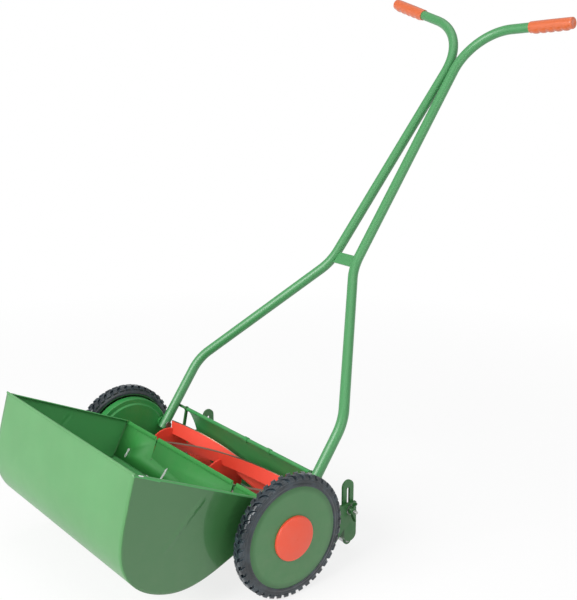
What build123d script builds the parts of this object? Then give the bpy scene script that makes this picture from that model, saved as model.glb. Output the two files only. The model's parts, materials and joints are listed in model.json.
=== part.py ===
"""Wheel-type reel mower with a front grass catcher. Millimetres, Z up, axle along X.

The mower drives towards -Y. Left is the operator's left, +X. It is modelled about its axle
at Y = 0 and exported with the origin on the ground at the middle of its length and width.
"""
import os
from math import acos, asin, atan2, cos, degrees, hypot, pi, radians, sin, sqrt, tan

from build123d import *

os.makedirs("parts", exist_ok=True)

# Reel: its half length drives the width of everything else.
reel_half = 205.0
reel_radius = 66.5
blade_count = 5
blade_depth = 29.0
blade_thickness = 3.5
blade_twist_per_mm = -0.263
blade_phase = 94.0
blade_lean = 6.0
blade_sections = 9
shaft_radius = 8.0
journal_radius = 7.0
spider_thickness = 4.0
spider_radius = 50.0
spider_hub_radius = 14.0
spider_hub_length = 16.0

# Wheels: lug tips stand on the ground plane Z = 0.
wheel_radius = 115.0
lug_height = 5.0
lug_count = 42
lug_base_width = 11.0
lug_tip_width = 7.5
tyre_width = 25.6
tyre_depth = 16.5
rim_wall = 2.5
bead_lip = 4.2
lip_seat = 0.8
disc_thickness = 2.5
disc_bolt_gap = 7.25
disc_edge_width = 11.0
hub_cap_radius = 41.7
hub_cap_rise = 9.0
hub_cap_wall = 1.6
hub_cap_edge = 3.0

# Gear train: internal ring in each wheel, pinion on each end of the reel shaft.
gear_module = 3.0
pinion_teeth = 12
pressure_angle = radians(20)
backlash = 0.5
ring_addendum = 0.6 * gear_module
pinion_addendum = 0.9 * gear_module
tooth_root_depth = 1.25 * gear_module
gear_width = 14.0
pinion_width = 12.0
ring_wall = 7.0
reel_drop_angle = radians(-20)

# Running fits and clearances.
running_gap = 0.05
rest_gap = 0.3
blade_gap = 0.3
wheel_gap = 1.2
stay_gap = 4.0
arm_gap = 32.0
carrier_gap = 11.0
roller_gap = 39.0
catcher_gap = 12.0
bar_gap = 0.5

# Stub axles and wheel hubs.
axle_radius = 8.0
bush_wall = 3.0
sleeve_wall = 6.0
sleeve_overhang = 9.0
nut_radius = 12.0
nut_height = 4.2
washer_height = 1.5
end_float = 0.3

# Side frames: a stepped round cover inside each wheel and a rear arm.
arm_thickness = 6.0
cover_offset = 19.0
cover_radius = 93.0
cover_thickness = 4.0
cover_flange = 12.0
cover_band = 10.0
cover_step = 3.0
boss_offset = 7.0
boss_radius = 16.0
arm_drop = 42.0
arm_margin = 10.0
bearing_radius = 13.0

# Rods between the side frames.
rod_radius = 5.0
cross_rod_radius = 3.0
rod_nut_radius = 9.0
rod_nut_height = 6.0
lower_rod_y = 137.0
lower_rod_drop = 57.0

# Handle: centreline corners of one tube, heights taken from the axle.
tube_radius = 10.3
tube_wall = 1.5
tube_offset = 1.2
knee_y = 168.0
knee_rise = 156.0
throat_at = (35.0, 374.0, 381.0)
shoulder_at = (6.2, 742.0, 845.5)
tip_at = (249.5, 763.0, 882.5)
left_tip_rise = -14.0
right_tip_rise = 25.5
lower_tube_slope = radians(54.5)
foot_reach = 171.0
cross_rod_reach = 110.5
cross_rod_stub = 18.0
foot_bolt_reach = 160.0
knee_bend = 90.0
throat_bend = 100.0
left_shoulder_bend = 108.0
right_shoulder_bend = 128.0
foot_bolt_radius = 4.0
bolt_head_radius = 7.0
bolt_head_height = 5.0
bridge_length = 25.0
bridge_thickness = 3.5
grip_length = 98.0
grip_wall = 3.2
grip_ridges = 5
grip_ridge_height = 1.8
grip_drop = 1.6
grip_end = 3.0
grip_collar = 6.0

# Deflector behind the reel, rolled onto the cross rod and the lower rod.
deflector_thickness = 1.2
deflector_bulge = 11.0
clip_stations = (2.0, 76.0)
clip_width = 11.0
clip_thickness = 1.2
stay_thickness = 4.0
stay_width = 6.5
stay_foot_reach = 43.0
stay_foot_drop = 15.0
stay_screw_radius = 3.0

# Bottom blade and its carrier.
blade_angle = radians(15)
bottom_blade_depth = 34.0
bottom_blade_thickness = 3.0
carrier_height = 14.0
pivot_y = 114.0
pivot_radius = 4.0
pivot_bore = 14.0
adjuster_y = 121.0
adjuster_radius = 3.0
adjuster_lug = 9.0
adjuster_length = 26.0
blade_screw_pitch = 80.0
blade_screw_count = 5
blade_screw_radius = 2.5

# Rear roller and its slotted height bars.
clamp_radius = 3.2
bar_y = 186.0
bar_width = 27.0
bar_toe_width = 18.0
bar_thickness = 5.0
bar_top_rise = 32.0
bar_shoulder_drop = 95.0
slot_width = 2 * clamp_radius + 0.6
slot_high_rise = 17.0
slot_low_drop = 53.0
roller_radius = 21.0
roller_wall = 3.0
roller_boss = 18.0
spindle_radius = 5.0
clamp_drop = 27.0
clamp_head_radius = 10.0
clamp_stud = 18.0
pad_width = 30.0
pad_top_drop = 14.0
pad_low_drop = 93.0
wing_span = 40.0
wing_hub_radius = 8.0
wing_hub_height = 9.0

# Grass catcher: side profile corners, Y and height from the axle.
sheet = 1.2
catcher_lip_at = (-276.5, 180.0)
catcher_belly_at = [(-293.0, 123.0), (-306.0, 67.0), (-306.5, 26.0), (-289.0, -14.0), (-250.0, -43.5)]
catcher_keel_at = [(-200.0, -56.5), (-139.0, -47.5), (-95.0, -31.0)]
catcher_heel_at = (-52.0, -15.0)
catcher_rear_at = (-14.0, 55.0)
hook_shift = 13.0
hook_x = 134.0
hook_width = 20.0
hook_thickness = 2.0
hook_rod_drop = 13.0
rest_rod_drop = 68.0
slit_width = 5.5
slit_length = 42.0
slit_lean = 6.0
rim_fold = 9.0
lip_bead = 2.0

# Stations derived from the sizes above.
axle_z = wheel_radius
rim_radius = wheel_radius - tyre_depth
arm_inner_x = reel_half + arm_gap
arm_outer_x = arm_inner_x + arm_thickness
arm_x = arm_inner_x + tube_offset
boss_inner_x = arm_inner_x + boss_offset
cover_inner_x = arm_inner_x + cover_offset
cover_outer_x = cover_inner_x + cover_thickness
tyre_inner_x = cover_outer_x + cover_flange + wheel_gap
disc_face_x = tyre_inner_x + tyre_width + 0.4
stay_inner_x = reel_half + stay_gap
carrier_half = arm_inner_x - carrier_gap
roller_half = arm_inner_x - roller_gap
deflector_half = reel_half + 1.0
bar_outer_x = arm_inner_x - bar_gap
catcher_half = cover_inner_x - cover_step - catcher_gap
knee = (arm_x, knee_y, axle_z + knee_rise)
throat = (throat_at[0], throat_at[1], axle_z + throat_at[2])
shoulder = (shoulder_at[0], shoulder_at[1], axle_z + shoulder_at[2])
tube_tip = (tip_at[0], tip_at[1], axle_z + tip_at[2])
lower_rod = (lower_rod_y, axle_z - lower_rod_drop)
bar_top_z = axle_z + bar_top_rise
bar_toe_z = axle_z - bar_shoulder_drop
slot_low_z = axle_z - slot_low_drop
slot_high_z = axle_z + slot_high_rise
clamp_z = axle_z - clamp_drop
pad_top_z = axle_z - pad_top_drop
pad_low_z = axle_z - pad_low_drop
catcher_lip = (catcher_lip_at[0], axle_z + catcher_lip_at[1])
catcher_belly = [(y, axle_z + z) for y, z in catcher_belly_at]
catcher_keel = [(y, axle_z + z) for y, z in catcher_keel_at]
catcher_heel = (catcher_heel_at[0], axle_z + catcher_heel_at[1])
catcher_rear_top = (catcher_rear_at[0], axle_z + catcher_rear_at[1])
ring_room = rim_radius - rim_wall - disc_bolt_gap - ring_wall - tooth_root_depth
ring_teeth = int(2 * ring_room / gear_module)
ring_pitch = gear_module * ring_teeth / 2
pinion_pitch = gear_module * pinion_teeth / 2
reel_y = (ring_pitch - pinion_pitch) * cos(reel_drop_angle)
reel_z = axle_z + (ring_pitch - pinion_pitch) * sin(reel_drop_angle)
stay_foot = (reel_y + stay_foot_reach, axle_z - stay_foot_drop)


def side_plane(x):
    """Plane square to the axle at x: local X runs along +Y and local Y along +Z."""
    return Plane(origin=(x, 0, 0), x_dir=(0, 1, 0), z_dir=(1, 0, 0))


def axle_profile(y, z):
    """Plane through a lengthwise axis: local X runs along +X, local Y is the radius."""
    return Plane(origin=(0, y, z), x_dir=(1, 0, 0), z_dir=(0, -1, 0))


def lathe(points, at):
    """Solid of revolution about a lengthwise axis from (x, radius) corners."""
    with BuildSketch(axle_profile(*at)) as profile:
        with BuildLine():
            Polyline(*points, close=True)
        make_face()
    revolve(profile.sketch, axis=Axis((0, *at), (1, 0, 0)))


def bar(x0, x1, radius, at, mode=Mode.ADD):
    """Round bar along X between two stations."""
    with BuildSketch(side_plane(x0)) as profile:
        with Locations(at):
            Circle(radius)
    extrude(profile.sketch, amount=x1 - x0, mode=mode)


def hexagon(x0, x1, radius, at, mode=Mode.ADD):
    """Hexagonal nut or head along X between two stations."""
    with BuildSketch(side_plane(x0)) as profile:
        with Locations(at):
            RegularPolygon(radius, 6)
    extrude(profile.sketch, amount=x1 - x0, mode=mode)


def plate(x0, x1, points, mode=Mode.ADD):
    """Flat plate square to the axle from (y, z) corners."""
    with BuildSketch(side_plane(x0)) as profile:
        with BuildLine():
            Polyline(*points, close=True)
        make_face()
    extrude(profile.sketch, amount=x1 - x0, mode=mode)


def involute(angle):
    return tan(angle) - angle


def polar(radius, angle, at):
    return (at[0] + radius * cos(angle), at[1] + radius * sin(angle))


def pinion_outline(at, phase):
    """Closed corner list of the pinion with one tooth centred on the phase angle."""
    base = pinion_pitch * cos(pressure_angle)
    root = pinion_pitch - tooth_root_depth
    tip = pinion_pitch + pinion_addendum
    at_pitch = pi / (2 * pinion_teeth) - backlash / (4 * pinion_pitch) + involute(pressure_angle)
    radii = [base + (tip - base) * i / 4 for i in range(5)]
    flank = [(r, at_pitch - involute(acos(base / r))) for r in radii]
    half = [(root, flank[0][1])] + flank
    corners = []
    for tooth in range(pinion_teeth):
        middle = phase + tooth * 2 * pi / pinion_teeth
        corners += [polar(r, middle - a, at) for r, a in half]
        corners += [polar(r, middle + a, at) for r, a in reversed(half)]
    return corners


def ring_outline(at, phase):
    """Closed corner list of the ring's toothed opening with a space on the phase angle."""
    base = ring_pitch * cos(pressure_angle)
    tip = ring_pitch - ring_addendum
    root = ring_pitch + tooth_root_depth
    at_pitch = pi / (2 * ring_teeth) + backlash / (4 * ring_pitch) + involute(pressure_angle)
    radii = [tip + (root - tip) * i / 4 for i in range(5)]
    flank = [(r, at_pitch - involute(acos(base / r))) for r in radii]
    corners = []
    for space in range(ring_teeth):
        middle = phase + space * 2 * pi / ring_teeth
        corners += [polar(r, middle - a, at) for r, a in flank]
        corners += [polar(r, middle + a, at) for r, a in reversed(flank)]
    return corners


def lug_outline(at, phase):
    """Closed corner list of one tread row: lug tips on the wheel radius."""
    base = wheel_radius - lug_height
    half_base = lug_base_width / (2 * base)
    half_tip = lug_tip_width / (2 * wheel_radius)
    corners = []
    for lug in range(lug_count):
        middle = phase + lug * 2 * pi / lug_count
        corners += [polar(base, middle - half_base, at), polar(wheel_radius, middle - half_tip, at)]
        corners += [polar(wheel_radius, middle + half_tip, at), polar(base, middle + half_base, at)]
    return corners


def bent_path(corners, radii):
    """Line and arc pieces of a tube centreline through the corners, with bend radii."""
    points = [Vector(*c) for c in corners]
    start = points[0]
    for before, here, after, radius in zip(points, points[1:], points[2:], radii):
        incoming = (here - before).normalized()
        outgoing = (after - here).normalized()
        turn = acos(incoming.dot(outgoing))
        reach = radius * tan(turn / 2)
        inward = (outgoing - incoming).normalized()
        middle = here + inward * (radius / cos(turn / 2) - radius)
        Line(start, here - incoming * reach)
        ThreePointArc(here - incoming * reach, middle, here + outgoing * reach)
        start = here + outgoing * reach
    Line(start, points[-1])


def along(start, direction, distance):
    return Vector(*start) + Vector(*direction).normalized() * distance


def along_rear(distance, offset):
    """Point behind the catcher's rear panel: distance down from its top edge, offset off its face."""
    run = (catcher_heel[0] - catcher_rear_top[0], catcher_heel[1] - catcher_rear_top[1])
    down = (run[0] / hypot(*run), run[1] / hypot(*run))
    return (
        catcher_rear_top[0] + down[0] * distance - down[1] * offset,
        catcher_rear_top[1] + down[1] * distance + down[0] * offset,
    )


axle = (0.0, axle_z)
reel_axis = (reel_y, reel_z)
mesh_direction = reel_drop_angle

hook_radius = rod_radius + rest_gap
hook_rod = along_rear(hook_rod_drop, hook_radius + hook_thickness)
rest_rod = along_rear(rest_rod_drop, rod_radius + rest_gap)

edge_radius = reel_radius + blade_gap
edge_y = reel_y + edge_radius * sin(blade_angle)
edge_z = reel_z - edge_radius * cos(blade_angle)
carrier_pivot = (pivot_y, edge_z + carrier_height / 2)
lug_z = edge_z + carrier_height + 7.0

# ---------------------------------------------------------------- wheels
disc_inner_x = disc_face_x - disc_thickness
rim_inner_radius = rim_radius - rim_wall
bush_radius = axle_radius + bush_wall
sleeve_radius = bush_radius + sleeve_wall
sleeve_inner_x = tyre_inner_x - sleeve_overhang
lip_radius = rim_radius - bead_lip
lip_seat_x = disc_inner_x + lip_seat
tread_base = wheel_radius - lug_height
sidewall_x = tyre_inner_x + tyre_width
edge_shares = (1.0, 0.75, 0.5, 0.25, 0.0)
disc_edge = [
    (disc_face_x - (disc_face_x - lip_seat_x) * share ** 2, lip_radius - disc_edge_width * (1 - share))
    for share in edge_shares
]

with BuildPart() as wheel_disc_left:
    lathe(
        [
            (sleeve_inner_x, bush_radius),
            (sleeve_inner_x, sleeve_radius),
            (disc_inner_x - 6, sleeve_radius),
            (disc_inner_x, sleeve_radius + 6),
            (disc_inner_x, rim_inner_radius),
            (tyre_inner_x + 1.5, rim_inner_radius),
            (tyre_inner_x + 1.5, rim_radius),
            (lip_seat_x, rim_radius),
            *disc_edge,
            (disc_face_x, bush_radius),
        ],
        axle,
    )

ring_back = disc_inner_x
ring_front = ring_back - gear_width
ring_outer_radius = ring_pitch + tooth_root_depth + ring_wall
with BuildPart() as ring_gear_left:
    with BuildSketch(side_plane(ring_front)):
        with Locations(axle):
            Circle(ring_outer_radius)
        with BuildLine():
            Polyline(*ring_outline(axle, mesh_direction), close=True)
        make_face(mode=Mode.SUBTRACT)
    extrude(amount=gear_width)

with BuildPart() as tyre_left:
    lathe(
        [
            (tyre_inner_x, rim_radius),
            (tyre_inner_x, tread_base - 3.5),
            (tyre_inner_x + 1.8, tread_base),
            (sidewall_x - 3.6, tread_base),
            (sidewall_x - 1.0, tread_base - 4.0),
            (sidewall_x, rim_radius + 2.0),
            (sidewall_x, lip_radius),
            (lip_seat_x, lip_radius),
            (lip_seat_x, rim_radius),
        ],
        axle,
    )
    row_width = (tyre_width - 4.0) / 2
    for row in range(2):
        with BuildSketch(side_plane(tyre_inner_x + 0.8 + row * row_width)):
            with BuildLine():
                Polyline(*lug_outline(axle, row * pi / lug_count), close=True)
            make_face()
            with Locations(axle):
                Circle(tread_base - 4.0, mode=Mode.SUBTRACT)
        extrude(amount=row_width)

with BuildPart() as wheel_bush_left:
    bar(sleeve_inner_x, disc_face_x, bush_radius, axle)
    bar(sleeve_inner_x, disc_face_x, axle_radius + running_gap, axle, Mode.SUBTRACT)


def dome_line(base_x, radius, rise, edge):
    """Half profile of a domed cap: straight skirt, rounded edge and a crown centred on the axis."""
    skirt = (base_x + rise / 4, radius)
    crown = (skirt[0] + edge, radius - edge)
    bend = edge * (1 - sqrt(0.5))
    apex_x = base_x + rise
    depth = apex_x - crown[0]
    crown_radius = (crown[1] ** 2 + depth ** 2) / (2 * depth)
    half_angle = asin(crown[1] / crown_radius) / 2
    middle = (apex_x - crown_radius * (1 - cos(half_angle)), crown_radius * sin(half_angle))
    Line((base_x, radius), skirt)
    ThreePointArc(skirt, (crown[0] - bend, radius - bend), crown)
    ThreePointArc(crown, middle, (apex_x, 0))


with BuildPart() as hub_cap_left:
    with BuildSketch(axle_profile(*axle)):
        with BuildLine():
            dome_line(disc_face_x, hub_cap_radius, hub_cap_rise, hub_cap_edge)
            Line((disc_face_x + hub_cap_rise, 0), (disc_face_x, 0))
            Line((disc_face_x, 0), (disc_face_x, hub_cap_radius))
        make_face()
        with BuildLine():
            inner_rise = hub_cap_rise - hub_cap_wall
            dome_line(disc_face_x, hub_cap_radius - hub_cap_wall, inner_rise, hub_cap_edge)
            Line((disc_face_x + inner_rise, 0), (disc_face_x, 0))
            Line((disc_face_x, 0), (disc_face_x, hub_cap_radius - hub_cap_wall))
        make_face(mode=Mode.SUBTRACT)
    revolve(axis=Axis((0, *axle), (1, 0, 0)))

# ---------------------------------------------------------------- side frames
pad_half = pad_width / 2
lower_direction = (0.0, cos(lower_tube_slope), sin(lower_tube_slope))
foot_end = along(knee, lower_direction, -foot_reach)
cross_point = along(knee, lower_direction, -cross_rod_reach)
foot_point = along(knee, lower_direction, -foot_bolt_reach)
rod_offset = tube_radius + cross_rod_radius
cross_rod_at = (
    cross_point.Y + rod_offset * sin(lower_tube_slope),
    cross_point.Z - rod_offset * cos(lower_tube_slope),
)
foot_bolt_at = (foot_point.Y, foot_point.Z)

with BuildPart() as side_frame_left:
    lathe(
        [
            (cover_inner_x, 0),
            (cover_inner_x - cover_step, 0),
            (cover_inner_x - cover_step, cover_radius - cover_band - 3.0),
            (cover_inner_x, cover_radius - cover_band),
            (cover_inner_x, cover_radius - 1.5),
            (cover_inner_x + 1.5, cover_radius),
            (cover_outer_x + cover_flange, cover_radius),
            (cover_outer_x + cover_flange, cover_radius - 2.5),
            (cover_outer_x, cover_radius - 2.5),
            (cover_outer_x, 0),
        ],
        axle,
    )
    bar(boss_inner_x, cover_outer_x + 2.0, boss_radius, axle)
    bar(boss_inner_x, cover_outer_x + 2.0, boss_radius + 2.0, reel_axis)
    plate(
        arm_inner_x,
        arm_outer_x,
        [
            (reel_y - boss_radius, reel_z - arm_drop),
            (pivot_y, carrier_pivot[1] - arm_margin),
            (lower_rod[0] + arm_margin, carrier_pivot[1] - arm_margin),
            (bar_y - pad_half, pad_low_z + pad_width),
            (bar_y - pad_half, pad_top_z),
            (stay_foot[0], stay_foot[1] + arm_margin),
            (reel_y - boss_radius, reel_z + boss_radius),
        ],
    )
    plate(
        arm_inner_x,
        cover_inner_x,
        [
            (reel_y - boss_radius, reel_z - 2 * boss_radius),
            (reel_y + boss_radius / 2, reel_z - 2 * boss_radius),
            (reel_y + 1.5 * boss_radius, reel_z - boss_radius),
            (reel_y + 1.5 * boss_radius, reel_z + boss_radius),
            (reel_y - boss_radius, reel_z + boss_radius),
        ],
    )
    with BuildSketch(side_plane(arm_inner_x)):
        with Locations((bar_y, (pad_low_z + pad_top_z) / 2)):
            RectangleRounded(pad_width, pad_top_z - pad_low_z, pad_half - 1.0)
        with Locations((bar_y, pad_top_z - pad_half / 2)):
            Rectangle(pad_width, pad_half)
    extrude(amount=arm_thickness)
    bar(stay_inner_x + stay_thickness, arm_outer_x, stay_width / 2 + 2.0, stay_foot)
    bar(arm_x + tube_radius, cover_inner_x, 10.0, foot_bolt_at)
    plate(
        carrier_half - 6.0,
        arm_inner_x,
        [
            (adjuster_y - 6, lug_z),
            (adjuster_y + 6, lug_z),
            (adjuster_y + 6, lug_z + adjuster_lug),
            (adjuster_y - 6, lug_z + adjuster_lug),
        ],
    )
    for at in (hook_rod, rest_rod):
        bar(cover_inner_x - cover_step - 5.0, cover_inner_x, rod_radius + 4.0, at)
        bar(cover_inner_x - cover_step - 5.0, cover_outer_x, rod_radius, at, Mode.SUBTRACT)
    bar(arm_inner_x - 4.0, arm_inner_x, rod_radius + 4.0, lower_rod)
    bar(arm_inner_x - 4.0, arm_outer_x, rod_radius, lower_rod, Mode.SUBTRACT)
    bar(boss_inner_x - 8.0, cover_outer_x + 2.0, axle_radius, axle, Mode.SUBTRACT)
    bar(arm_inner_x, cover_outer_x + 2.0, bearing_radius, reel_axis, Mode.SUBTRACT)
    bar(stay_inner_x, arm_outer_x, stay_screw_radius, stay_foot, Mode.SUBTRACT)
    bar(arm_x, cover_outer_x, foot_bolt_radius, foot_bolt_at, Mode.SUBTRACT)
    bar(arm_inner_x, arm_outer_x, clamp_radius, (bar_y, clamp_z), Mode.SUBTRACT)
    bar(arm_inner_x, arm_outer_x, pivot_radius, carrier_pivot, Mode.SUBTRACT)
    with BuildSketch(Plane.XY.offset(lug_z)):
        with Locations((carrier_half, adjuster_y)):
            Circle(adjuster_radius)
    extrude(amount=adjuster_lug, mode=Mode.SUBTRACT)

retainer_x = disc_face_x + end_float
with BuildPart() as stub_axle_left:
    bar(boss_inner_x - 2.0, retainer_x + washer_height + nut_height, axle_radius, axle)
    bar(boss_inner_x - 5.0, boss_inner_x, axle_radius + 5.0, axle)

with BuildPart() as axle_nut_left:
    bar(retainer_x, retainer_x + washer_height, nut_radius + 2.0, axle)
    hexagon(retainer_x + washer_height, retainer_x + washer_height + nut_height, nut_radius, axle)
    bar(retainer_x, retainer_x + washer_height + nut_height, axle_radius, axle, Mode.SUBTRACT)

with BuildPart() as reel_bearing_left:
    bar(boss_inner_x, cover_outer_x + 2.0, bearing_radius, reel_axis)
    bar(boss_inner_x, cover_outer_x + 2.0, shaft_radius + running_gap, reel_axis, Mode.SUBTRACT)

# ---------------------------------------------------------------- reel
pinion_front = ring_front + (gear_width - pinion_width) / 2
shaft_end = pinion_front + pinion_width
with BuildPart() as reel_shaft:
    bar(-cover_outer_x - 4.0, cover_outer_x + 4.0, shaft_radius, reel_axis)
    bar(-shaft_end, shaft_end, journal_radius, reel_axis)

with BuildPart() as pinion_left:
    with BuildSketch(side_plane(pinion_front)):
        with BuildLine():
            Polyline(*pinion_outline(reel_axis, mesh_direction), close=True)
        make_face()
    extrude(amount=pinion_width)
    bar(cover_outer_x + 4.0, pinion_front, pinion_pitch - tooth_root_depth - 1.5, reel_axis)
    bar(cover_outer_x + 4.0, shaft_end, journal_radius, reel_axis, Mode.SUBTRACT)


def blade_face(x, angle):
    """Section of one blade at station x, its ground edge on the reel radius."""
    inner = reel_radius - blade_depth
    lean = angle - radians(blade_lean)
    return [
        polar(reel_radius, angle, reel_axis),
        polar(reel_radius, angle - blade_thickness / reel_radius, reel_axis),
        polar(inner, lean - blade_thickness / inner, reel_axis),
        polar(inner, lean, reel_axis),
    ]


with BuildPart() as reel_blades:
    for blade in range(blade_count):
        for section in range(blade_sections):
            x = -reel_half + section * 2 * reel_half / (blade_sections - 1)
            angle = radians(blade_phase + blade_twist_per_mm * x + blade * 360 / blade_count)
            with BuildSketch(side_plane(x)):
                with BuildLine():
                    Polyline(*blade_face(x, angle), close=True)
                make_face()
        loft()

with BuildPart() as reel_spiders:
    for x in (-reel_half, -spider_thickness / 2, reel_half - spider_thickness):
        bar(x, x + spider_thickness, spider_radius, reel_axis)
        hub_x = x + spider_thickness / 2 - spider_hub_length / 2
        bar(hub_x, hub_x + spider_hub_length, spider_hub_radius, reel_axis)
    bar(-cover_inner_x, cover_inner_x, shaft_radius, reel_axis, Mode.SUBTRACT)
    add(reel_blades.part, mode=Mode.SUBTRACT)

# ---------------------------------------------------------------- rods and deflector
rod_end = cover_outer_x
with BuildPart() as front_rods:
    for at in (hook_rod, rest_rod):
        bar(-rod_end - rod_nut_height, rod_end + rod_nut_height, rod_radius, at)

with BuildPart() as rod_nuts:
    for at in (hook_rod, rest_rod):
        for x in (-rod_end - rod_nut_height, rod_end):
            hexagon(x, x + rod_nut_height, rod_nut_radius, at)
            bar(x, x + rod_nut_height, rod_radius, at, Mode.SUBTRACT)
    for x in (-arm_outer_x - rod_nut_height, arm_outer_x):
        hexagon(x, x + rod_nut_height, rod_nut_radius, lower_rod)
        bar(x, x + rod_nut_height, rod_radius, lower_rod, Mode.SUBTRACT)

with BuildPart() as lower_tie_rod:
    bar(-arm_outer_x - rod_nut_height, arm_outer_x + rod_nut_height, rod_radius, lower_rod)

with BuildPart() as cross_rod:
    bar(-arm_x - tube_radius - cross_rod_stub, arm_x, cross_rod_radius, cross_rod_at)

roll_radius = cross_rod_radius + deflector_thickness
chord = (lower_rod[0] - cross_rod_at[0], lower_rod[1] - cross_rod_at[1])
deflector_middle = (
    (cross_rod_at[0] + lower_rod[0]) / 2 - chord[1] / hypot(*chord) * deflector_bulge,
    (cross_rod_at[1] + lower_rod[1]) / 2 + chord[0] / hypot(*chord) * deflector_bulge,
)
rolls = ((cross_rod_at, cross_rod_radius), (lower_rod, rod_radius))
with BuildPart() as deflector:
    with BuildSketch(side_plane(-deflector_half)):
        with BuildLine() as curve:
            ThreePointArc(cross_rod_at, deflector_middle, lower_rod)
        trace(curve.line, line_width=deflector_thickness)
        for at, radius in rolls:
            with Locations(at):
                Circle(radius + deflector_thickness)
        for at, radius in rolls:
            with Locations(at):
                Circle(radius, mode=Mode.SUBTRACT)
    extrude(amount=2 * deflector_half)

with BuildPart() as deflector_clips:
    for x in clip_stations:
        bar(x, x + clip_width, roll_radius + clip_thickness, cross_rod_at)
        bar(x, x + clip_width, roll_radius, cross_rod_at, Mode.SUBTRACT)
    add(deflector.part, mode=Mode.SUBTRACT)

with BuildPart() as deflector_stay_left:
    with BuildSketch(side_plane(stay_inner_x)):
        with BuildLine() as middle_line:
            Line(cross_rod_at, stay_foot)
        trace(middle_line.line, line_width=stay_width)
        for at in (cross_rod_at, stay_foot):
            with Locations(at):
                Circle(stay_width / 2 + 2.0)
    extrude(amount=stay_thickness)
    bar(stay_inner_x, stay_inner_x + stay_thickness, cross_rod_radius, cross_rod_at, Mode.SUBTRACT)
    bar(stay_inner_x, stay_inner_x + stay_thickness, stay_screw_radius, stay_foot, Mode.SUBTRACT)

with BuildPart() as stay_screws:
    for side in (-1, 1):
        inner = side * stay_inner_x
        bar(inner, side * arm_outer_x, stay_screw_radius, stay_foot)
        hexagon(inner - side * 3.0, inner, 2 * stay_screw_radius, stay_foot)

# ---------------------------------------------------------------- bottom blade
blade_rear_y = edge_y + bottom_blade_depth
blade_screw_y = blade_rear_y - 9.0
blade_screw_bite = 5.5
blade_screw_x = [(i - (blade_screw_count - 1) / 2) * blade_screw_pitch for i in range(blade_screw_count)]
carrier_rear_y = adjuster_y + 4.0
with BuildPart() as bottom_blade:
    plate(
        -reel_half,
        reel_half,
        [
            (edge_y, edge_z),
            (blade_rear_y, edge_z),
            (blade_rear_y, edge_z - bottom_blade_thickness),
            (edge_y + 3.0, edge_z - bottom_blade_thickness),
        ],
    )

with BuildPart() as blade_carrier:
    plate(
        -carrier_half,
        carrier_half,
        [
            (edge_y + bottom_blade_depth / 2, edge_z),
            (edge_y + bottom_blade_depth / 2, edge_z + carrier_height / 4),
            (pivot_y - carrier_height / 2 - 1.0, edge_z + carrier_height),
            (carrier_rear_y, edge_z + carrier_height),
            (carrier_rear_y, edge_z),
        ],
    )
    for side in (-1, 1):
        bore_end = side * (carrier_half - pivot_bore)
        bar(bore_end, side * carrier_half, pivot_radius + running_gap, carrier_pivot, Mode.SUBTRACT)
    for x in blade_screw_x:
        with BuildSketch(Plane.XY.offset(edge_z)):
            with Locations((x, blade_screw_y)):
                Circle(blade_screw_radius)
        extrude(amount=blade_screw_bite, mode=Mode.SUBTRACT)

with BuildPart() as blade_screws:
    for x in blade_screw_x:
        with BuildSketch(Plane.XY.offset(edge_z)):
            with Locations((x, blade_screw_y)):
                Circle(blade_screw_radius)
        extrude(amount=blade_screw_bite)
        with BuildSketch(Plane.XY.offset(edge_z - bottom_blade_thickness)):
            with Locations((x, blade_screw_y)):
                Circle(blade_screw_radius + 2.0)
        extrude(amount=bottom_blade_thickness)

with bottom_blade:
    add(blade_screws.part, mode=Mode.SUBTRACT)

with BuildPart() as pivot_pins:
    for side in (-1, 1):
        bar(side * (carrier_half - pivot_bore + 1.0), side * arm_outer_x, pivot_radius, carrier_pivot)
        hexagon(side * arm_outer_x, side * (arm_outer_x + bolt_head_height), 2 * pivot_radius, carrier_pivot)

screw_tip_z = edge_z + carrier_height + rest_gap
with BuildPart() as adjuster_screws:
    for side in (-1, 1):
        with BuildSketch(Plane.XY.offset(screw_tip_z)):
            with Locations((side * carrier_half, adjuster_y)):
                Circle(adjuster_radius)
        extrude(amount=adjuster_length)
        with BuildSketch(Plane.XY.offset(screw_tip_z + adjuster_length)):
            with Locations((side * carrier_half, adjuster_y)):
                RegularPolygon(2 * adjuster_radius, 6)
        extrude(amount=adjuster_radius)

# ---------------------------------------------------------------- roller and height bars
roller_at = (bar_y, roller_radius)
bar_inner_x = bar_outer_x - bar_thickness
with BuildPart() as height_bar_left:
    with BuildSketch(side_plane(bar_inner_x)):
        with Locations((bar_y, (bar_top_z + bar_toe_z) / 2)):
            SlotOverall(bar_top_z - bar_toe_z, bar_width, rotation=90)
        with Locations((bar_y, roller_radius)):
            Circle(bar_toe_width / 2)
        with Locations((bar_y, roller_radius)):
            Rectangle(bar_toe_width, bar_toe_z + bar_width - roller_radius, align=(Align.CENTER, Align.MIN))
        with Locations((bar_y, (slot_low_z + slot_high_z) / 2)):
            SlotOverall(slot_high_z - slot_low_z, slot_width, rotation=90, mode=Mode.SUBTRACT)
        with Locations(roller_at):
            Circle(spindle_radius, mode=Mode.SUBTRACT)
    extrude(amount=bar_thickness)

with BuildPart() as roller_spindle:
    bar(-bar_outer_x, bar_outer_x, spindle_radius, roller_at)
    for side in (-1, 1):
        bar(side * (roller_half + 1.5), side * bar_inner_x, spindle_radius + 3.0, roller_at)

with BuildPart() as rear_roller:
    bar(-roller_half, roller_half, roller_radius, roller_at)
    bar(-roller_half, roller_half, roller_radius - roller_wall, roller_at, Mode.SUBTRACT)
    for x in (-roller_half + 1.0, roller_half - 1.0 - roller_boss):
        bar(x, x + roller_boss, roller_radius - roller_wall, roller_at)
        bar(x, x + roller_boss, spindle_radius + running_gap, roller_at, Mode.SUBTRACT)

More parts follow.
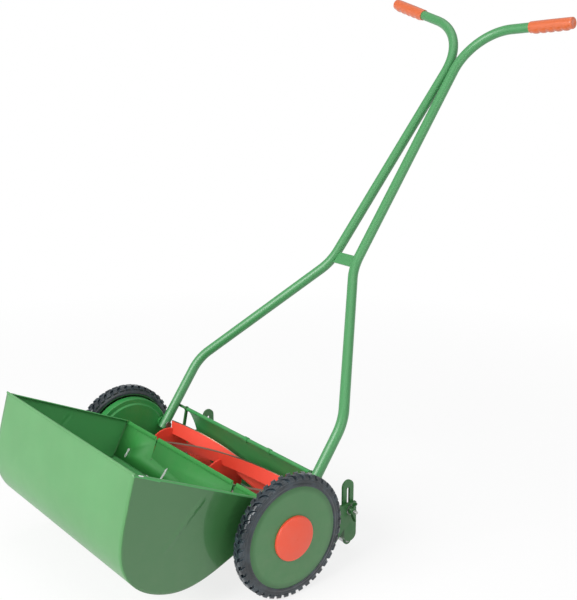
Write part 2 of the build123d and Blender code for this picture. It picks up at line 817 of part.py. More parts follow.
clamp_at = (bar_y, clamp_z)
with BuildPart() as clamp_bolts:
    for side in (-1, 1):
        bar(side * bar_inner_x, side * (arm_outer_x + clamp_stud), clamp_radius, clamp_at)
        bar(side * (bar_inner_x - bolt_head_height), side * bar_inner_x, clamp_head_radius, clamp_at)
        bar(side * arm_outer_x, side * (arm_outer_x + washer_height), clamp_head_radius, clamp_at)

wing_x = arm_outer_x + washer_height + rest_gap
wing_lean = radians(86)
with BuildPart() as wing_nut_left:
    bar(wing_x, wing_x + wing_hub_height, wing_hub_radius, clamp_at)
    with BuildSketch(side_plane(wing_x + 3.0)):
        with Locations(Location(clamp_at, degrees(wing_lean))):
            SlotOverall(wing_span, 7.0)
    extrude(amount=3.0)
    for turn in (0, pi):
        with BuildSketch(side_plane(wing_x + 6.0)):
            with Locations(polar(wing_span / 2 - 6.0, wing_lean + turn, clamp_at)):
                Circle(5.5)
        extrude(amount=9.0)
    bar(wing_x, wing_x + wing_hub_height, clamp_radius + running_gap, clamp_at, Mode.SUBTRACT)

# ---------------------------------------------------------------- handle


def mirrored_point(point, side, rise=0.0):
    """The same corner on the other side of the mower, raised by a given amount."""
    return (side * point[0], point[1], point[2] + rise)


def handle_tube(side, rise, shoulder_bend):
    """One bent tube from its foot on the side frame to the end of its grip."""
    corners = [mirrored_point(tuple(foot_end), side)]
    corners += [mirrored_point(corner, side) for corner in (knee, throat, shoulder)]
    corners.append(mirrored_point(tube_tip, side, rise))
    with BuildPart() as tube:
        with BuildLine() as centreline:
            bent_path(corners, (knee_bend, throat_bend, shoulder_bend))
        with BuildSketch(Plane(origin=corners[0], x_dir=(1, 0, 0), z_dir=lower_direction)):
            Circle(tube_radius)
            Circle(tube_radius - tube_wall, mode=Mode.SUBTRACT)
        sweep(path=centreline.wires()[0])
        bar(side * (arm_x - 12.0), side * (arm_x + 12.0), foot_bolt_radius, foot_bolt_at, Mode.SUBTRACT)
    return tube.part


tube_left = handle_tube(1, left_tip_rise, left_shoulder_bend)
tube_right = handle_tube(-1, right_tip_rise, right_shoulder_bend)

upper_direction = Vector(*shoulder) - Vector(*throat)
rise = Vector(0, upper_direction.Y, upper_direction.Z).normalized()
bridge_middle = Vector(0, throat[1], throat[2]) + rise * (bridge_length / 2)
with BuildPart() as bridge_plate:
    with BuildSketch(Plane(origin=bridge_middle, x_dir=(1, 0, 0), z_dir=(0, -rise.Z, rise.Y))):
        Rectangle(2 * throat[0], bridge_length)
    extrude(amount=bridge_thickness / 2, both=True)
    add(tube_left, mode=Mode.SUBTRACT)
    add(tube_right, mode=Mode.SUBTRACT)
    bridge_solid = max(bridge_plate.part.solids(), key=lambda solid: solid.volume)

with BuildPart() as bridge:
    add(bridge_solid)

grip_radius = tube_radius + grip_wall
ridge_pitch = (grip_length - 2 * grip_collar) / grip_ridges


def grip(side, rise):
    """Moulded handgrip: a closed sleeve with finger ridges along its underside."""
    tip = Vector(*mirrored_point(tube_tip, side, rise))
    direction = (tip - Vector(*mirrored_point(shoulder, side))).normalized()
    root = tip - direction * grip_length
    with BuildPart() as sleeve:
        with BuildSketch(Plane(origin=root, x_dir=direction, z_dir=(0, -1, 0))):
            Rectangle(grip_length + grip_end, grip_radius, align=(Align.MIN, Align.MIN))
        revolve(axis=Axis(root, direction))
        fillet(sleeve.edges().sort_by(Axis(root, direction))[-1], radius=grip_end)
        start = root + Vector(0, 0, -grip_drop)
        with BuildSketch(Plane(origin=start, x_dir=direction, z_dir=(0, -1, 0))):
            with BuildLine():
                crest = grip_radius + grip_ridge_height
                stations = [grip_collar + ridge_pitch * i for i in range(grip_ridges + 1)]
                crests = [(x + ridge_pitch / 2, crest) for x in stations[:-1]]
                valleys = [(x, grip_radius - grip_ridge_height / 3) for x in stations]
                points = [p for pair in zip(valleys, crests) for p in pair] + [valleys[-1]]
                Spline(*points)
                Polyline(points[-1], (points[-1][0], 0), (points[0][0], 0), points[0])
            make_face()
        revolve(axis=Axis(start, direction))
        with BuildSketch(Plane(origin=root, z_dir=direction)):
            Circle(tube_radius)
        extrude(amount=grip_length, mode=Mode.SUBTRACT)
    return sleeve.part


with BuildPart() as foot_bolts:
    for side in (-1, 1):
        inner = side * (arm_x - tube_radius)
        bar(inner, side * (cover_outer_x + 6.0), foot_bolt_radius, foot_bolt_at)
        bar(inner - side * bolt_head_height, inner, bolt_head_radius, foot_bolt_at)
        hexagon(side * cover_outer_x, side * (cover_outer_x + 6.0), bolt_head_radius, foot_bolt_at)

# ---------------------------------------------------------------- grass catcher
inner_half = catcher_half - sheet
belly_points = [catcher_lip, *catcher_belly, *catcher_keel, catcher_heel]


def catcher_wall(x0, x1, inset):
    """Extruded strip that follows the lip, belly, keel and heel of the catcher."""
    with BuildSketch(side_plane(x0)) as profile:
        with BuildLine() as curve:
            Spline(*belly_points)
        trace(curve.line, line_width=2 * inset)
    extrude(profile.sketch, amount=x1 - x0)


rim_slope = atan2(catcher_rear_top[1] - catcher_lip[1], catcher_rear_top[0] - catcher_lip[0])
rim_length = hypot(catcher_rear_top[1] - catcher_lip[1], catcher_rear_top[0] - catcher_lip[0])
with BuildPart() as catcher_side_left:
    with BuildSketch(side_plane(inner_half)):
        with BuildLine():
            Spline(*belly_points)
            Polyline(catcher_heel, catcher_rear_top, catcher_lip)
        make_face()
    extrude(amount=sheet)
    with BuildSketch(side_plane(inner_half - rim_fold)):
        with Locations(Location(catcher_lip, degrees(rim_slope))):
            with Locations((3 * lip_bead, 0)):
                Rectangle(rim_length - 6 * lip_bead, sheet, align=(Align.MIN, Align.MAX))
    extrude(amount=rim_fold)

with BuildPart() as catcher_scoop:
    catcher_wall(-inner_half, inner_half, sheet / 2)
    bar(-inner_half, inner_half, lip_bead, catcher_lip)

rear_run = Vector(catcher_rear_top[0] - catcher_heel[0], catcher_rear_top[1] - catcher_heel[1])
rear_length = rear_run.length
rear_lean = atan2(rear_run.Y, rear_run.X)
rear_plane = Plane(
    origin=(0, catcher_rear_top[0], catcher_rear_top[1]),
    x_dir=(1, 0, 0),
    z_dir=(0, -sin(rear_lean), cos(rear_lean)),
)
hook_stations = (hook_shift - hook_x, hook_shift + hook_x)
with BuildPart() as catcher_rear:
    with BuildSketch(rear_plane):
        Rectangle(2 * inner_half, rear_length - sheet, align=(Align.CENTER, Align.MAX))
        for x in hook_stations:
            with BuildLine():
                Polyline(
                    (x - slit_width / 2, 0),
                    (x + slit_width / 2, 0),
                    (x + slit_lean, -slit_length),
                    close=True,
                )
            make_face(mode=Mode.SUBTRACT)
    extrude(amount=sheet)

tab_top = along_rear(hook_rod_drop, 0)
tab_low = along_rear(hook_rod_drop + 16.0, 0)
tab_back = along_rear(hook_rod_drop + 16.0, hook_thickness)
with BuildPart() as catcher_hooks:
    for x in hook_stations:
        with BuildSketch(side_plane(x - slit_width - hook_width)):
            with Locations(hook_rod):
                Circle(hook_radius + hook_thickness)
            with BuildLine():
                Polyline(
                    tab_top,
                    tab_low,
                    tab_back,
                    (hook_rod[0] - hook_radius, hook_rod[1]),
                    close=True,
                )
            make_face()
            with Locations(hook_rod):
                Circle(hook_radius, mode=Mode.SUBTRACT)
                Rectangle(
                    2 * hook_radius,
                    3 * hook_radius,
                    align=(Align.CENTER, Align.MAX),
                    mode=Mode.SUBTRACT,
                )
            with Locations((hook_rod[0] + hook_radius, hook_rod[1])):
                Rectangle(
                    2 * hook_thickness,
                    3 * hook_radius,
                    align=(Align.MIN, Align.MAX),
                    mode=Mode.SUBTRACT,
                )
        extrude(amount=hook_width)

# ---------------------------------------------------------------- mirrored pieces and export
mirrored = {
    "wheel_disc": wheel_disc_left,
    "ring_gear": ring_gear_left,
    "tyre": tyre_left,
    "wheel_bush": wheel_bush_left,
    "hub_cap": hub_cap_left,
    "side_frame": side_frame_left,
    "stub_axle": stub_axle_left,
    "axle_nut": axle_nut_left,
    "reel_bearing": reel_bearing_left,
    "pinion": pinion_left,
    "deflector_stay": deflector_stay_left,
    "height_bar": height_bar_left,
    "wing_nut": wing_nut_left,
    "catcher_side": catcher_side_left,
}
single = {
    "reel_shaft": reel_shaft,
    "reel_blades": reel_blades,
    "reel_spiders": reel_spiders,
    "front_rods": front_rods,
    "rod_nuts": rod_nuts,
    "lower_tie_rod": lower_tie_rod,
    "cross_rod": cross_rod,
    "deflector_clips": deflector_clips,
    "deflector": deflector,
    "stay_screws": stay_screws,
    "bottom_blade": bottom_blade,
    "blade_carrier": blade_carrier,
    "blade_screws": blade_screws,
    "pivot_pins": pivot_pins,
    "adjuster_screws": adjuster_screws,
    "roller_spindle": roller_spindle,
    "rear_roller": rear_roller,
    "clamp_bolts": clamp_bolts,
    "bridge_plate": bridge,
    "foot_bolts": foot_bolts,
    "catcher_scoop": catcher_scoop,
    "catcher_rear": catcher_rear,
    "catcher_hooks": catcher_hooks,
}
nodes = {name: builder.part for name, builder in single.items()}
nodes["handle_tube_left"] = tube_left
nodes["handle_tube_right"] = tube_right
nodes["grip_left"] = grip(1, left_tip_rise)
nodes["grip_right"] = grip(-1, right_tip_rise)
for name, builder in mirrored.items():
    nodes[f"{name}_left"] = builder.part
    with BuildPart() as other_side:
        mirror(builder.part, about=Plane.YZ)
    nodes[f"{name}_right"] = other_side.part

boxes = [solid.bounding_box() for solid in nodes.values()]
middle_y = (min(box.min.Y for box in boxes) + max(box.max.Y for box in boxes)) / 2
to_origin = Location((0, -middle_y, 0))
for name, solid in nodes.items():
    placed = solid.moved(to_origin)
    placed.label = name
    export_step(placed, f"parts/{name}.step")
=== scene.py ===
import bmesh
import bpy
import json
import math
import numpy as np
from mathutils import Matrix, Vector

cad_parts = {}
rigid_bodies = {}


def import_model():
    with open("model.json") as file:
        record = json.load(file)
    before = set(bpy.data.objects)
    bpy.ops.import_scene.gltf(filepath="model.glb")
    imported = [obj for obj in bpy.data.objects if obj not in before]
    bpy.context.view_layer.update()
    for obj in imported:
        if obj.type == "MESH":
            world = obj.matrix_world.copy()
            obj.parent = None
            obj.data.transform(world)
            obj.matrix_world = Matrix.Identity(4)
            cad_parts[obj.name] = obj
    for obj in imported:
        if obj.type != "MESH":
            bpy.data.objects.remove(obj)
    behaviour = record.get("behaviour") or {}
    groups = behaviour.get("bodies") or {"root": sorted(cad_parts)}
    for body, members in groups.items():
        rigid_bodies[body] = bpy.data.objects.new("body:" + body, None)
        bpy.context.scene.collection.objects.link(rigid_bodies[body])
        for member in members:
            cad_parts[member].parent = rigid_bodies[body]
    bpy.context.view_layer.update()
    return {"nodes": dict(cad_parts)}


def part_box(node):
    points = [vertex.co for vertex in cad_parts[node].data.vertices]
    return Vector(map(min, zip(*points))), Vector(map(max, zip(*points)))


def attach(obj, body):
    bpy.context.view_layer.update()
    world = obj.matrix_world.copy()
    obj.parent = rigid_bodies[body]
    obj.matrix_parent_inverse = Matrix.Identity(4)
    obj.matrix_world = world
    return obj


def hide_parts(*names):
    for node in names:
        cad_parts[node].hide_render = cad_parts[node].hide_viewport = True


for leftover in list(bpy.data.objects):
    bpy.data.objects.remove(leftover)
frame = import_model()
nodes = frame["nodes"]
mm = 0.001
sides = {"left": 1, "right": -1}
tyreLow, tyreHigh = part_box("tyre_left")
axleY = (tyreLow.y + tyreHigh.y) / 2 / mm


def fromAxle(y, z):  # side-view point in millimetres, with y measured from the wheels' axle
    return (y + axleY, z)


print("frame loaded:", len(nodes), "nodes")


def srgb(red, green, blue):  # screen colour out of 255 to the linear one that the shaders take
    linear = [((c / 255 + 0.055) / 1.055) ** 2.4 if c > 10 else c / 255 / 12.92 for c in (red, green, blue)]
    return (*linear, 1.0)


def addNode(tree, kind, inputs=None, **settings):
    node = tree.nodes.new(kind)
    for name, value in settings.items():
        setattr(node, name, value)
    for name, value in (inputs or {}).items():
        if isinstance(value, bpy.types.NodeSocket):
            tree.links.new(value, node.inputs[name])
        else:
            node.inputs[name].default_value = value
    return node


def math2(tree, operation, first, second=0.0, clamp=False):
    node = addNode(tree, "ShaderNodeMath", {0: first, 1: second}, operation=operation, use_clamp=clamp)
    return node.outputs[0]


def times(tree, first, second, clamp=False):
    return math2(tree, "MULTIPLY", first, second, clamp)


def blendColour(tree, factor, first, second, blendType="MIX"):
    ports = {0: factor, 6: first, 7: second}
    return addNode(tree, "ShaderNodeMix", ports, data_type="RGBA", blend_type=blendType).outputs[2]


def remap(tree, value, low, high, newLow=0.0, newHigh=1.0):
    node = addNode(tree, "ShaderNodeMapRange", {0: value, 1: low, 2: high, 3: newLow, 4: newHigh})
    return node.outputs[0]


def noiseValue(tree, coords, scale, detail=3.0, roughness=0.5):
    ports = {"Vector": coords, "Scale": scale, "Detail": detail, "Roughness": roughness}
    return addNode(tree, "ShaderNodeTexNoise", ports).outputs[0]


def vectorMath(tree, operation, first, second=(0, 0, 0)):
    return addNode(tree, "ShaderNodeVectorMath", {0: first, 1: second}, operation=operation)


def objectCoords(tree):
    return addNode(tree, "ShaderNodeTexCoord").outputs["Object"]


def startGroup(name, floats, colours=(), outputs=()):
    group = bpy.data.node_groups.new(name, "ShaderNodeTree")
    for label, value in floats.items():
        group.interface.new_socket(label, in_out="INPUT", socket_type="NodeSocketFloat").default_value = value
    for label, value in dict(colours).items():
        group.interface.new_socket(label, in_out="INPUT", socket_type="NodeSocketColor").default_value = value
    for label, kind in outputs:
        group.interface.new_socket(label, in_out="OUTPUT", socket_type=kind)
    return group, group.nodes.new("NodeGroupInput").outputs, group.nodes.new("NodeGroupOutput").inputs


number = "NodeSocketFloat"
colour = "NodeSocketColor"


def makeEdgeWear():  # rounded-edge mask broken up by noise
    group, given, out = startGroup(
        "edgeWear", {"Radius": 0.0012, "Amount": 0.5, "Breakup": 260.0}, outputs=[("Mask", number)]
    )
    coords = objectCoords(group)
    plain = addNode(group, "ShaderNodeNewGeometry").outputs["Normal"]
    rounded = addNode(group, "ShaderNodeBevel", {"Radius": given["Radius"]}, samples=4).outputs[0]
    likeness = vectorMath(group, "DOT_PRODUCT", plain, rounded).outputs[1]
    edge = remap(group, likeness, low=0.985, high=0.86)
    breakup = noiseValue(group, coords, given["Breakup"], detail=4.0, roughness=0.65)
    flecks = remap(group, breakup, low=0.42, high=0.62)
    mask = times(group, edge, flecks)
    group.links.new(times(group, mask, given["Amount"], True), out["Mask"])
    return group


def makeDustFilm():  # settles on upward faces and gathers near the ground
    group, given, out = startGroup(
        "dustFilm", {"Amount": 0.3, "Height": 0.25, "Scale": 38.0}, outputs=[("Mask", number)]
    )
    coords = objectCoords(group)
    normal = addNode(group, "ShaderNodeNewGeometry").outputs["Normal"]
    facing = addNode(group, "ShaderNodeSeparateXYZ", {0: normal}).outputs[2]
    upward = remap(group, facing, low=-0.2, high=1.0)
    height = addNode(group, "ShaderNodeSeparateXYZ", {0: coords}).outputs[2]
    low = math2(group, "SUBTRACT", 1.0, math2(group, "DIVIDE", height, given["Height"]), True)
    patches = noiseValue(group, coords, given["Scale"], detail=5.0, roughness=0.6)
    patches = remap(group, patches, low=0.35, high=0.75)
    settled = times(group, math2(group, "ADD", upward, low), patches)
    group.links.new(times(group, settled, given["Amount"], True), out["Mask"])
    return group


def makeEnamel(wear, dust):  # sprayed gloss paint: tone drift, orange peel, chips and dust
    group, given, out = startGroup(
        "sprayedEnamel",
        {"Gloss": 0.24, "Peel": 0.5, "Chips": 0.5, "Dust": 0.25, "Drift": 0.4},
        {"Paint": (0.1, 0.3, 0.1, 1), "Shade": (0.05, 0.2, 0.05, 1), "Metal": (0.35, 0.33, 0.3, 1)},
        [("Colour", colour), ("Roughness", number), ("Metallic", number), ("Height", number)],
    )
    coords = objectCoords(group)
    drift = times(group, noiseValue(group, coords, scale=7.0), given["Drift"])
    fine = noiseValue(group, coords, scale=420.0, detail=2.0)
    speckle = remap(group, noiseValue(group, coords, scale=1500.0, detail=1.0), low=0.6, high=0.8)
    tone = math2(group, "ADD", drift, times(group, speckle, 0.02))
    painted = blendColour(group, tone, given["Paint"], given["Shade"])
    chips = addNode(group, "ShaderNodeGroup", {"Amount": given["Chips"]}, node_tree=wear).outputs[0]
    film = addNode(group, "ShaderNodeGroup", {"Amount": given["Dust"]}, node_tree=dust).outputs[0]
    chipped = blendColour(group, chips, painted, given["Metal"])
    dusty = blendColour(group, film, chipped, srgb(168, 160, 140))
    smears = noiseValue(group, coords, scale=24.0, detail=4.0, roughness=0.6)
    smears = times(group, smears, 0.14)
    rough = math2(group, "ADD", math2(group, "ADD", given["Gloss"], smears), film)
    rough = math2(group, "ADD", rough, times(group, chips, 0.25), True)
    peel = times(group, fine, given["Peel"])
    pits = times(group, chips, 1.5)
    group.links.new(dusty, out["Colour"])
    group.links.new(rough, out["Roughness"])
    group.links.new(times(group, chips, 0.8), out["Metallic"])
    group.links.new(math2(group, "SUBTRACT", peel, pits), out["Height"])
    return group


def makeWorkedMetal(wear):  # turned, drawn or cast metal with tarnish in its grain
    group, given, out = startGroup(
        "workedMetal",
        {"Gloss": 0.3, "Grain": 300.0, "Along": 0.05, "Tarnishing": 0.4, "Relief": 0.5},
        {"Metal": (0.5, 0.5, 0.5, 1), "Tarnish": (0.2, 0.15, 0.1, 1)},
        [("Colour", colour), ("Roughness", number), ("Height", number)],
    )
    coords = objectCoords(group)
    stretch = addNode(group, "ShaderNodeCombineXYZ", {0: given["Along"], 1: 1.0, 2: 1.0}).outputs[0]
    drawn = vectorMath(group, "MULTIPLY", coords, stretch).outputs[0]
    grain = noiseValue(group, drawn, given["Grain"], detail=4.0, roughness=0.6)
    cloud = noiseValue(group, coords, scale=60.0, detail=5.0, roughness=0.62)
    cloud = remap(group, cloud, low=0.45, high=0.72)
    stain = times(group, cloud, given["Tarnishing"], True)
    rubbed = addNode(group, "ShaderNodeGroup", {"Amount": 0.6}, node_tree=wear).outputs[0]
    stain = math2(group, "SUBTRACT", stain, times(group, rubbed, 0.7), True)
    shading = times(group, grain, 0.35)
    toned = blendColour(group, shading, given["Metal"], (0.08, 0.08, 0.08, 1), "MULTIPLY")
    group.links.new(blendColour(group, stain, toned, given["Tarnish"]), out["Colour"])
    rough = math2(group, "ADD", given["Gloss"], times(group, stain, 0.35))
    group.links.new(math2(group, "ADD", rough, times(group, grain, 0.12), True), out["Roughness"])
    group.links.new(times(group, grain, given["Relief"]), out["Height"])
    return group


def makeMoulded(wear, dust):  # moulded rubber or plastic: fine grain, scuffs and dust
    group, given, out = startGroup(
        "mouldedSkin",
        {"Gloss": 0.4, "Grain": 900.0, "Scuffs": 0.4, "Dust": 0.4, "Relief": 0.4},
        {"Body": (0.5, 0.1, 0.05, 1), "Worn": (0.6, 0.3, 0.2, 1), "Dirt": (0.4, 0.36, 0.3, 1)},
        [("Colour", colour), ("Roughness", number), ("Height", number)],
    )
    coords = objectCoords(group)
    grain = noiseValue(group, coords, given["Grain"], roughness=0.6)
    patches = noiseValue(group, coords, scale=30.0, detail=5.0, roughness=0.65)
    patches = remap(group, patches, low=0.4, high=0.75)
    edges = addNode(group, "ShaderNodeGroup", {"Amount": 0.8}, node_tree=wear).outputs[0]
    rubbed = math2(group, "ADD", times(group, patches, 0.4), edges)
    rubbed = times(group, rubbed, given["Scuffs"], True)
    film = addNode(group, "ShaderNodeGroup", {"Amount": given["Dust"]}, node_tree=dust).outputs[0]
    body = blendColour(group, rubbed, given["Body"], given["Worn"])
    group.links.new(blendColour(group, film, body, given["Dirt"]), out["Colour"])
    rough = math2(group, "ADD", given["Gloss"], times(group, rubbed, 0.25))
    dulled = times(group, film, 0.4)
    group.links.new(math2(group, "ADD", rough, dulled, True), out["Roughness"])
    group.links.new(times(group, grain, given["Relief"]), out["Height"])
    return group


edgeWear = makeEdgeWear()
dustFilm = makeDustFilm()
sprayedEnamel = makeEnamel(edgeWear, dustFilm)
workedMetal = makeWorkedMetal(edgeWear)
mouldedSkin = makeMoulded(edgeWear, dustFilm)
print("shared surface effects built")


def finishMaterial(name, group, inputs, metallic=0.0, coat=0.0, coatRoughness=0.08):
    material = bpy.data.materials.new(name)
    material.use_nodes = True
    tree = material.node_tree
    shader = tree.nodes["Principled BSDF"]
    skin = addNode(tree, "ShaderNodeGroup", inputs, node_tree=group).outputs
    tree.links.new(skin["Colour"], shader.inputs["Base Color"])
    tree.links.new(skin["Roughness"], shader.inputs["Roughness"])
    if "Metallic" in skin:
        tree.links.new(skin["Metallic"], shader.inputs["Metallic"])
    else:
        shader.inputs["Metallic"].default_value = metallic
    shader.inputs["Coat Weight"].default_value = coat
    shader.inputs["Coat Roughness"].default_value = coatRoughness
    relief = {"Strength": 0.6, "Distance": 0.2 * mm, "Height": skin["Height"]}
    tree.links.new(addNode(tree, "ShaderNodeBump", relief).outputs[0], shader.inputs["Normal"])
    return material


def paint(name, main, shade, coat, coatRoughness=0.2, **changes):
    settings = {"Paint": srgb(*main), "Shade": srgb(*shade), **changes}
    return finishMaterial(name, sprayedEnamel, settings, coat=coat, coatRoughness=coatRoughness)


def moulding(name, main, worn, coat, coatRoughness=0.2, **changes):
    settings = {"Body": srgb(*main), "Worn": srgb(*worn), **changes}
    return finishMaterial(name, mouldedSkin, settings, coat=coat, coatRoughness=coatRoughness)


def metal(name, main, tarnish, **changes):
    settings = {"Metal": srgb(*main), "Tarnish": srgb(*tarnish), **changes}
    return finishMaterial(name, workedMetal, settings, metallic=1.0)


# main colour and its second one for each finish, then what differs from the shared effect
enamels = {
    "tubeGreen": dict(
        main=(60, 136, 77), shade=(52, 126, 68), coat=0.6, coatRoughness=0.36,
        Gloss=0.42, Chips=0.0, Dust=0.03, Peel=0.04,
    ),
    "scoopGreen": dict(
        main=(85, 147, 89), shade=(62, 119, 64), coat=0.3, coatRoughness=0.22,
        Gloss=0.42, Chips=0.05, Dust=0.06, Peel=0.15, Drift=0.75,
    ),
    "panelGreen": dict(
        main=(56, 147, 68), shade=(50, 138, 62), coat=0.0, Gloss=0.5, Chips=0.05, Dust=0.04, Peel=0.15,
    ),
    # the catcher's paint made lighter for its inside and rim band: painted light where the inside lies in
    # shade
    "insideGreen": dict(
        main=(74, 156, 88), shade=(64, 146, 78), coat=0.0, Gloss=0.5, Chips=0.05, Dust=0.04, Peel=0.15,
    ),
    # the catcher's paint made darker for the sides: painted shade on the cheeks' outer faces
    "cheekGreen": dict(
        main=(55, 110, 59), shade=(48, 100, 52), coat=0.7, coatRoughness=0.06,
        Gloss=0.36, Chips=0.03, Dust=0.04, Peel=0.2,
    ),
    "wheelGreen": dict(
        main=(61, 119, 66), shade=(54, 109, 60), coat=0.4, coatRoughness=0.16,
        Gloss=0.36, Chips=0.2, Dust=0.08,
    ),
    "shieldGreen": dict(main=(50, 138, 72), shade=(44, 124, 64), coat=0.1, Gloss=0.36, Chips=0.2, Dust=0.08),
    "frameGreen": dict(
        main=(37, 106, 48), shade=(30, 88, 40), coat=0.12, coatRoughness=0.08,
        Gloss=0.28, Chips=0.3, Dust=0.1,
    ),
    # a lighter copy of the frame's paint for the far side frame: painted light on its shaded inner face
    "coverGreen": dict(main=(44, 138, 66), shade=(38, 122, 56), coat=0.1, Gloss=0.36, Chips=0.2, Dust=0.06),
    "reelRed": dict(main=(230, 66, 44), shade=(208, 50, 32), coat=0.0, Gloss=0.6, Chips=0.4, Dust=0.04),
}
mouldings = {
    "capRed": dict(
        main=(232, 78, 48), worn=(224, 94, 66), coat=0.1, Gloss=0.4, Scuffs=0.3, Dust=0.08, Relief=0.15,
    ),
    "gripOrange": dict(
        main=(202, 92, 38), worn=(216, 118, 70), coat=0.9, coatRoughness=0.24,
        Gloss=0.35, Scuffs=0.12, Dust=0.02, Relief=0.1,
    ),
    # the tyre's worn colour is pale blue: partly wear, partly painted highlight along the lugs' edges
    "tyreRubber": dict(
        main=(15, 25, 31), worn=(104, 126, 140), coat=0.25, Gloss=0.34, Scuffs=0.5, Dust=0.02, Relief=0.4,
    ),
}
metals = {
    # near-white braze whose colour is a painted glint
    "brazeBright": dict(main=(248, 250, 248), tarnish=(214, 212, 204), Gloss=0.55, Tarnishing=0.1, Along=1.0),
    "brightSteel": dict(main=(196, 196, 198), tarnish=(120, 104, 88), Gloss=0.24, Tarnishing=0.5),
    "zincPlate": dict(main=(214, 216, 212), tarnish=(150, 146, 128), Gloss=0.26, Tarnishing=0.3, Along=1.0),
    "sinteredBronze": dict(main=(176, 128, 78), tarnish=(92, 66, 40), Gloss=0.38, Along=1.0),
    "castIron": dict(main=(96, 94, 92), tarnish=(58, 46, 38), Gloss=0.48, Grain=520.0, Along=1.0, Relief=1.4),
}
finishes = {}
for recipe, looks in ((paint, enamels), (moulding, mouldings), (metal, metals)):
    for name, look in looks.items():
        finishes[name] = recipe(name, **look)

# finish for each node whose name starts with the key; the longest key that fits is the one used
finishOfNode = {
    "adjuster_screws": "zincPlate", "axle_nut": "zincPlate", "blade_carrier": "frameGreen",
    "blade_screws": "zincPlate", "bottom_blade": "brightSteel", "bridge_plate": "tubeGreen",
    "catcher": "scoopGreen", "catcher_side": "cheekGreen", "clamp_bolts": "zincPlate",
    "cross_rod": "frameGreen", "deflector": "shieldGreen", "deflector_stay": "frameGreen",
    "foot_bolts": "zincPlate", "front_rods": "frameGreen", "grip": "gripOrange",
    "handle_tube": "tubeGreen", "height_bar": "frameGreen", "hub_cap": "capRed",
    "lower_tie_rod": "frameGreen", "pinion": "castIron", "pivot_pins": "zincPlate",
    "rear_roller": "frameGreen", "reel_bearing": "sinteredBronze", "reel_blades": "reelBladeRed",
    "reel_shaft": "brightSteel", "reel_spiders": "reelRed", "ring_gear": "castIron",
    "rod_nuts": "zincPlate", "roller_spindle": "brightSteel", "side_frame": "coverGreen",
    "side_frame_left": "frameGreen", "stay_screws": "zincPlate", "stub_axle": "brightSteel",
    "tyre": "tyreRubber", "wheel_bush": "sinteredBronze", "wheel_disc": "wheelGreen",
    "wing_nut": "frameGreen",
}


def finishFor(nodeName):
    longest = max((key for key in finishOfNode if nodeName.startswith(key)), key=len)
    return finishes[finishOfNode[longest]]


def spinRadius(tree, centre):  # coordinates, and each point's distance from a cross-wise axis
    coords = objectCoords(tree)
    away = vectorMath(tree, "SUBTRACT", coords, centre).outputs[0]
    flat = vectorMath(tree, "MULTIPLY", away, (0, 1, 1)).outputs[0]
    return coords, vectorMath(tree, "LENGTH", flat).outputs[1]


def reelBladeFinish():  # enamel worn to bare steel along the ground edge of each blade
    settings = {"groundStrip": 2.0 * mm, "fade": 0.8 * mm, "metal": srgb(150, 122, 104)}
    material = finishes["reelRed"].copy()
    material.name = "reelBladeRed"
    tree = material.node_tree
    shader = tree.nodes["Principled BSDF"]
    low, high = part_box("reel_blades")
    reach = (high.z - low.z) / 2
    coords, radius = spinRadius(tree, (low + high) / 2)
    ragged = noiseValue(tree, coords, scale=90.0, detail=5.0, roughness=0.7)
    radius = math2(tree, "ADD", radius, times(tree, ragged, 2 * settings["fade"]))
    start = reach - settings["groundStrip"] + settings["fade"]
    bare = remap(tree, radius, start, start + settings["fade"])
    for socket, value in (("Base Color", settings["metal"]), ("Metallic", 0.85), ("Roughness", 0.32)):
        before = shader.inputs[socket].links[0].from_socket
        if socket == "Base Color":
            mixed = blendColour(tree, bare, before, value)
        else:
            mixed = addNode(tree, "ShaderNodeMix", {0: bare, 2: before, 3: value}).outputs[0]
        tree.links.new(mixed, shader.inputs[socket])
    return material


finishes["reelBladeRed"] = reelBladeFinish()
for name, node in nodes.items():
    node.data.materials.clear()
    node.data.materials.append(finishFor(name))

softened = {"width": 0.5 * mm, "segments": 2, "angle": 40, "seam": 0.01 * mm}
roundedNodes = (
    "rod_nuts", "stay_screws", "pivot_pins", "blade_screws", "adjuster_screws", "clamp_bolts", "foot_bolts",
    "axle_nut", "height_bar", "deflector_stay", "blade_carrier", "bottom_blade", "bridge_plate",
    "roller_spindle",
)


def softEdges(piece, name, width, segments, angle):  # the angle in degrees from which an edge is rounded
    bevel = piece.modifiers.new(name, "BEVEL")
    bevel.width, bevel.segments = width, segments
    bevel.limit_method, bevel.angle_limit = "ANGLE", math.radians(angle)
    return bevel


for name, node in nodes.items():
    if name.startswith(roundedNodes):
        node.modifiers.new("joinSeams", "WELD").merge_threshold = softened["seam"]
        bevel = softEdges(node, "softEdges", softened["width"], softened["segments"], softened["angle"])
        bevel.harden_normals = True
print("finishes given to the frame's own nodes")


seamGap = 0.002 * mm  # corners closer than this are one corner


def addToScene(name, data):
    item = bpy.data.objects.new(name, data)
    bpy.context.scene.collection.objects.link(item)
    return item


def place(name, work, material, body, smoothAngle=35.0, joined=True):
    mesh = meshFrom(name, work, joined)
    piece = addToScene(name, mesh)
    mesh.materials.append(material)
    mesh.polygons.foreach_set("use_smooth", [True] * len(mesh.polygons))
    mesh.set_sharp_from_angle(angle=math.radians(smoothAngle))
    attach(piece, body)
    return piece


def meshFrom(name, work, joined=True):
    if joined:
        bmesh.ops.remove_doubles(work, verts=work.verts, dist=seamGap)
    bmesh.ops.recalc_face_normals(work, faces=work.faces)
    mesh = bpy.data.meshes.new(name)
    work.to_mesh(mesh)
    work.free()
    return mesh


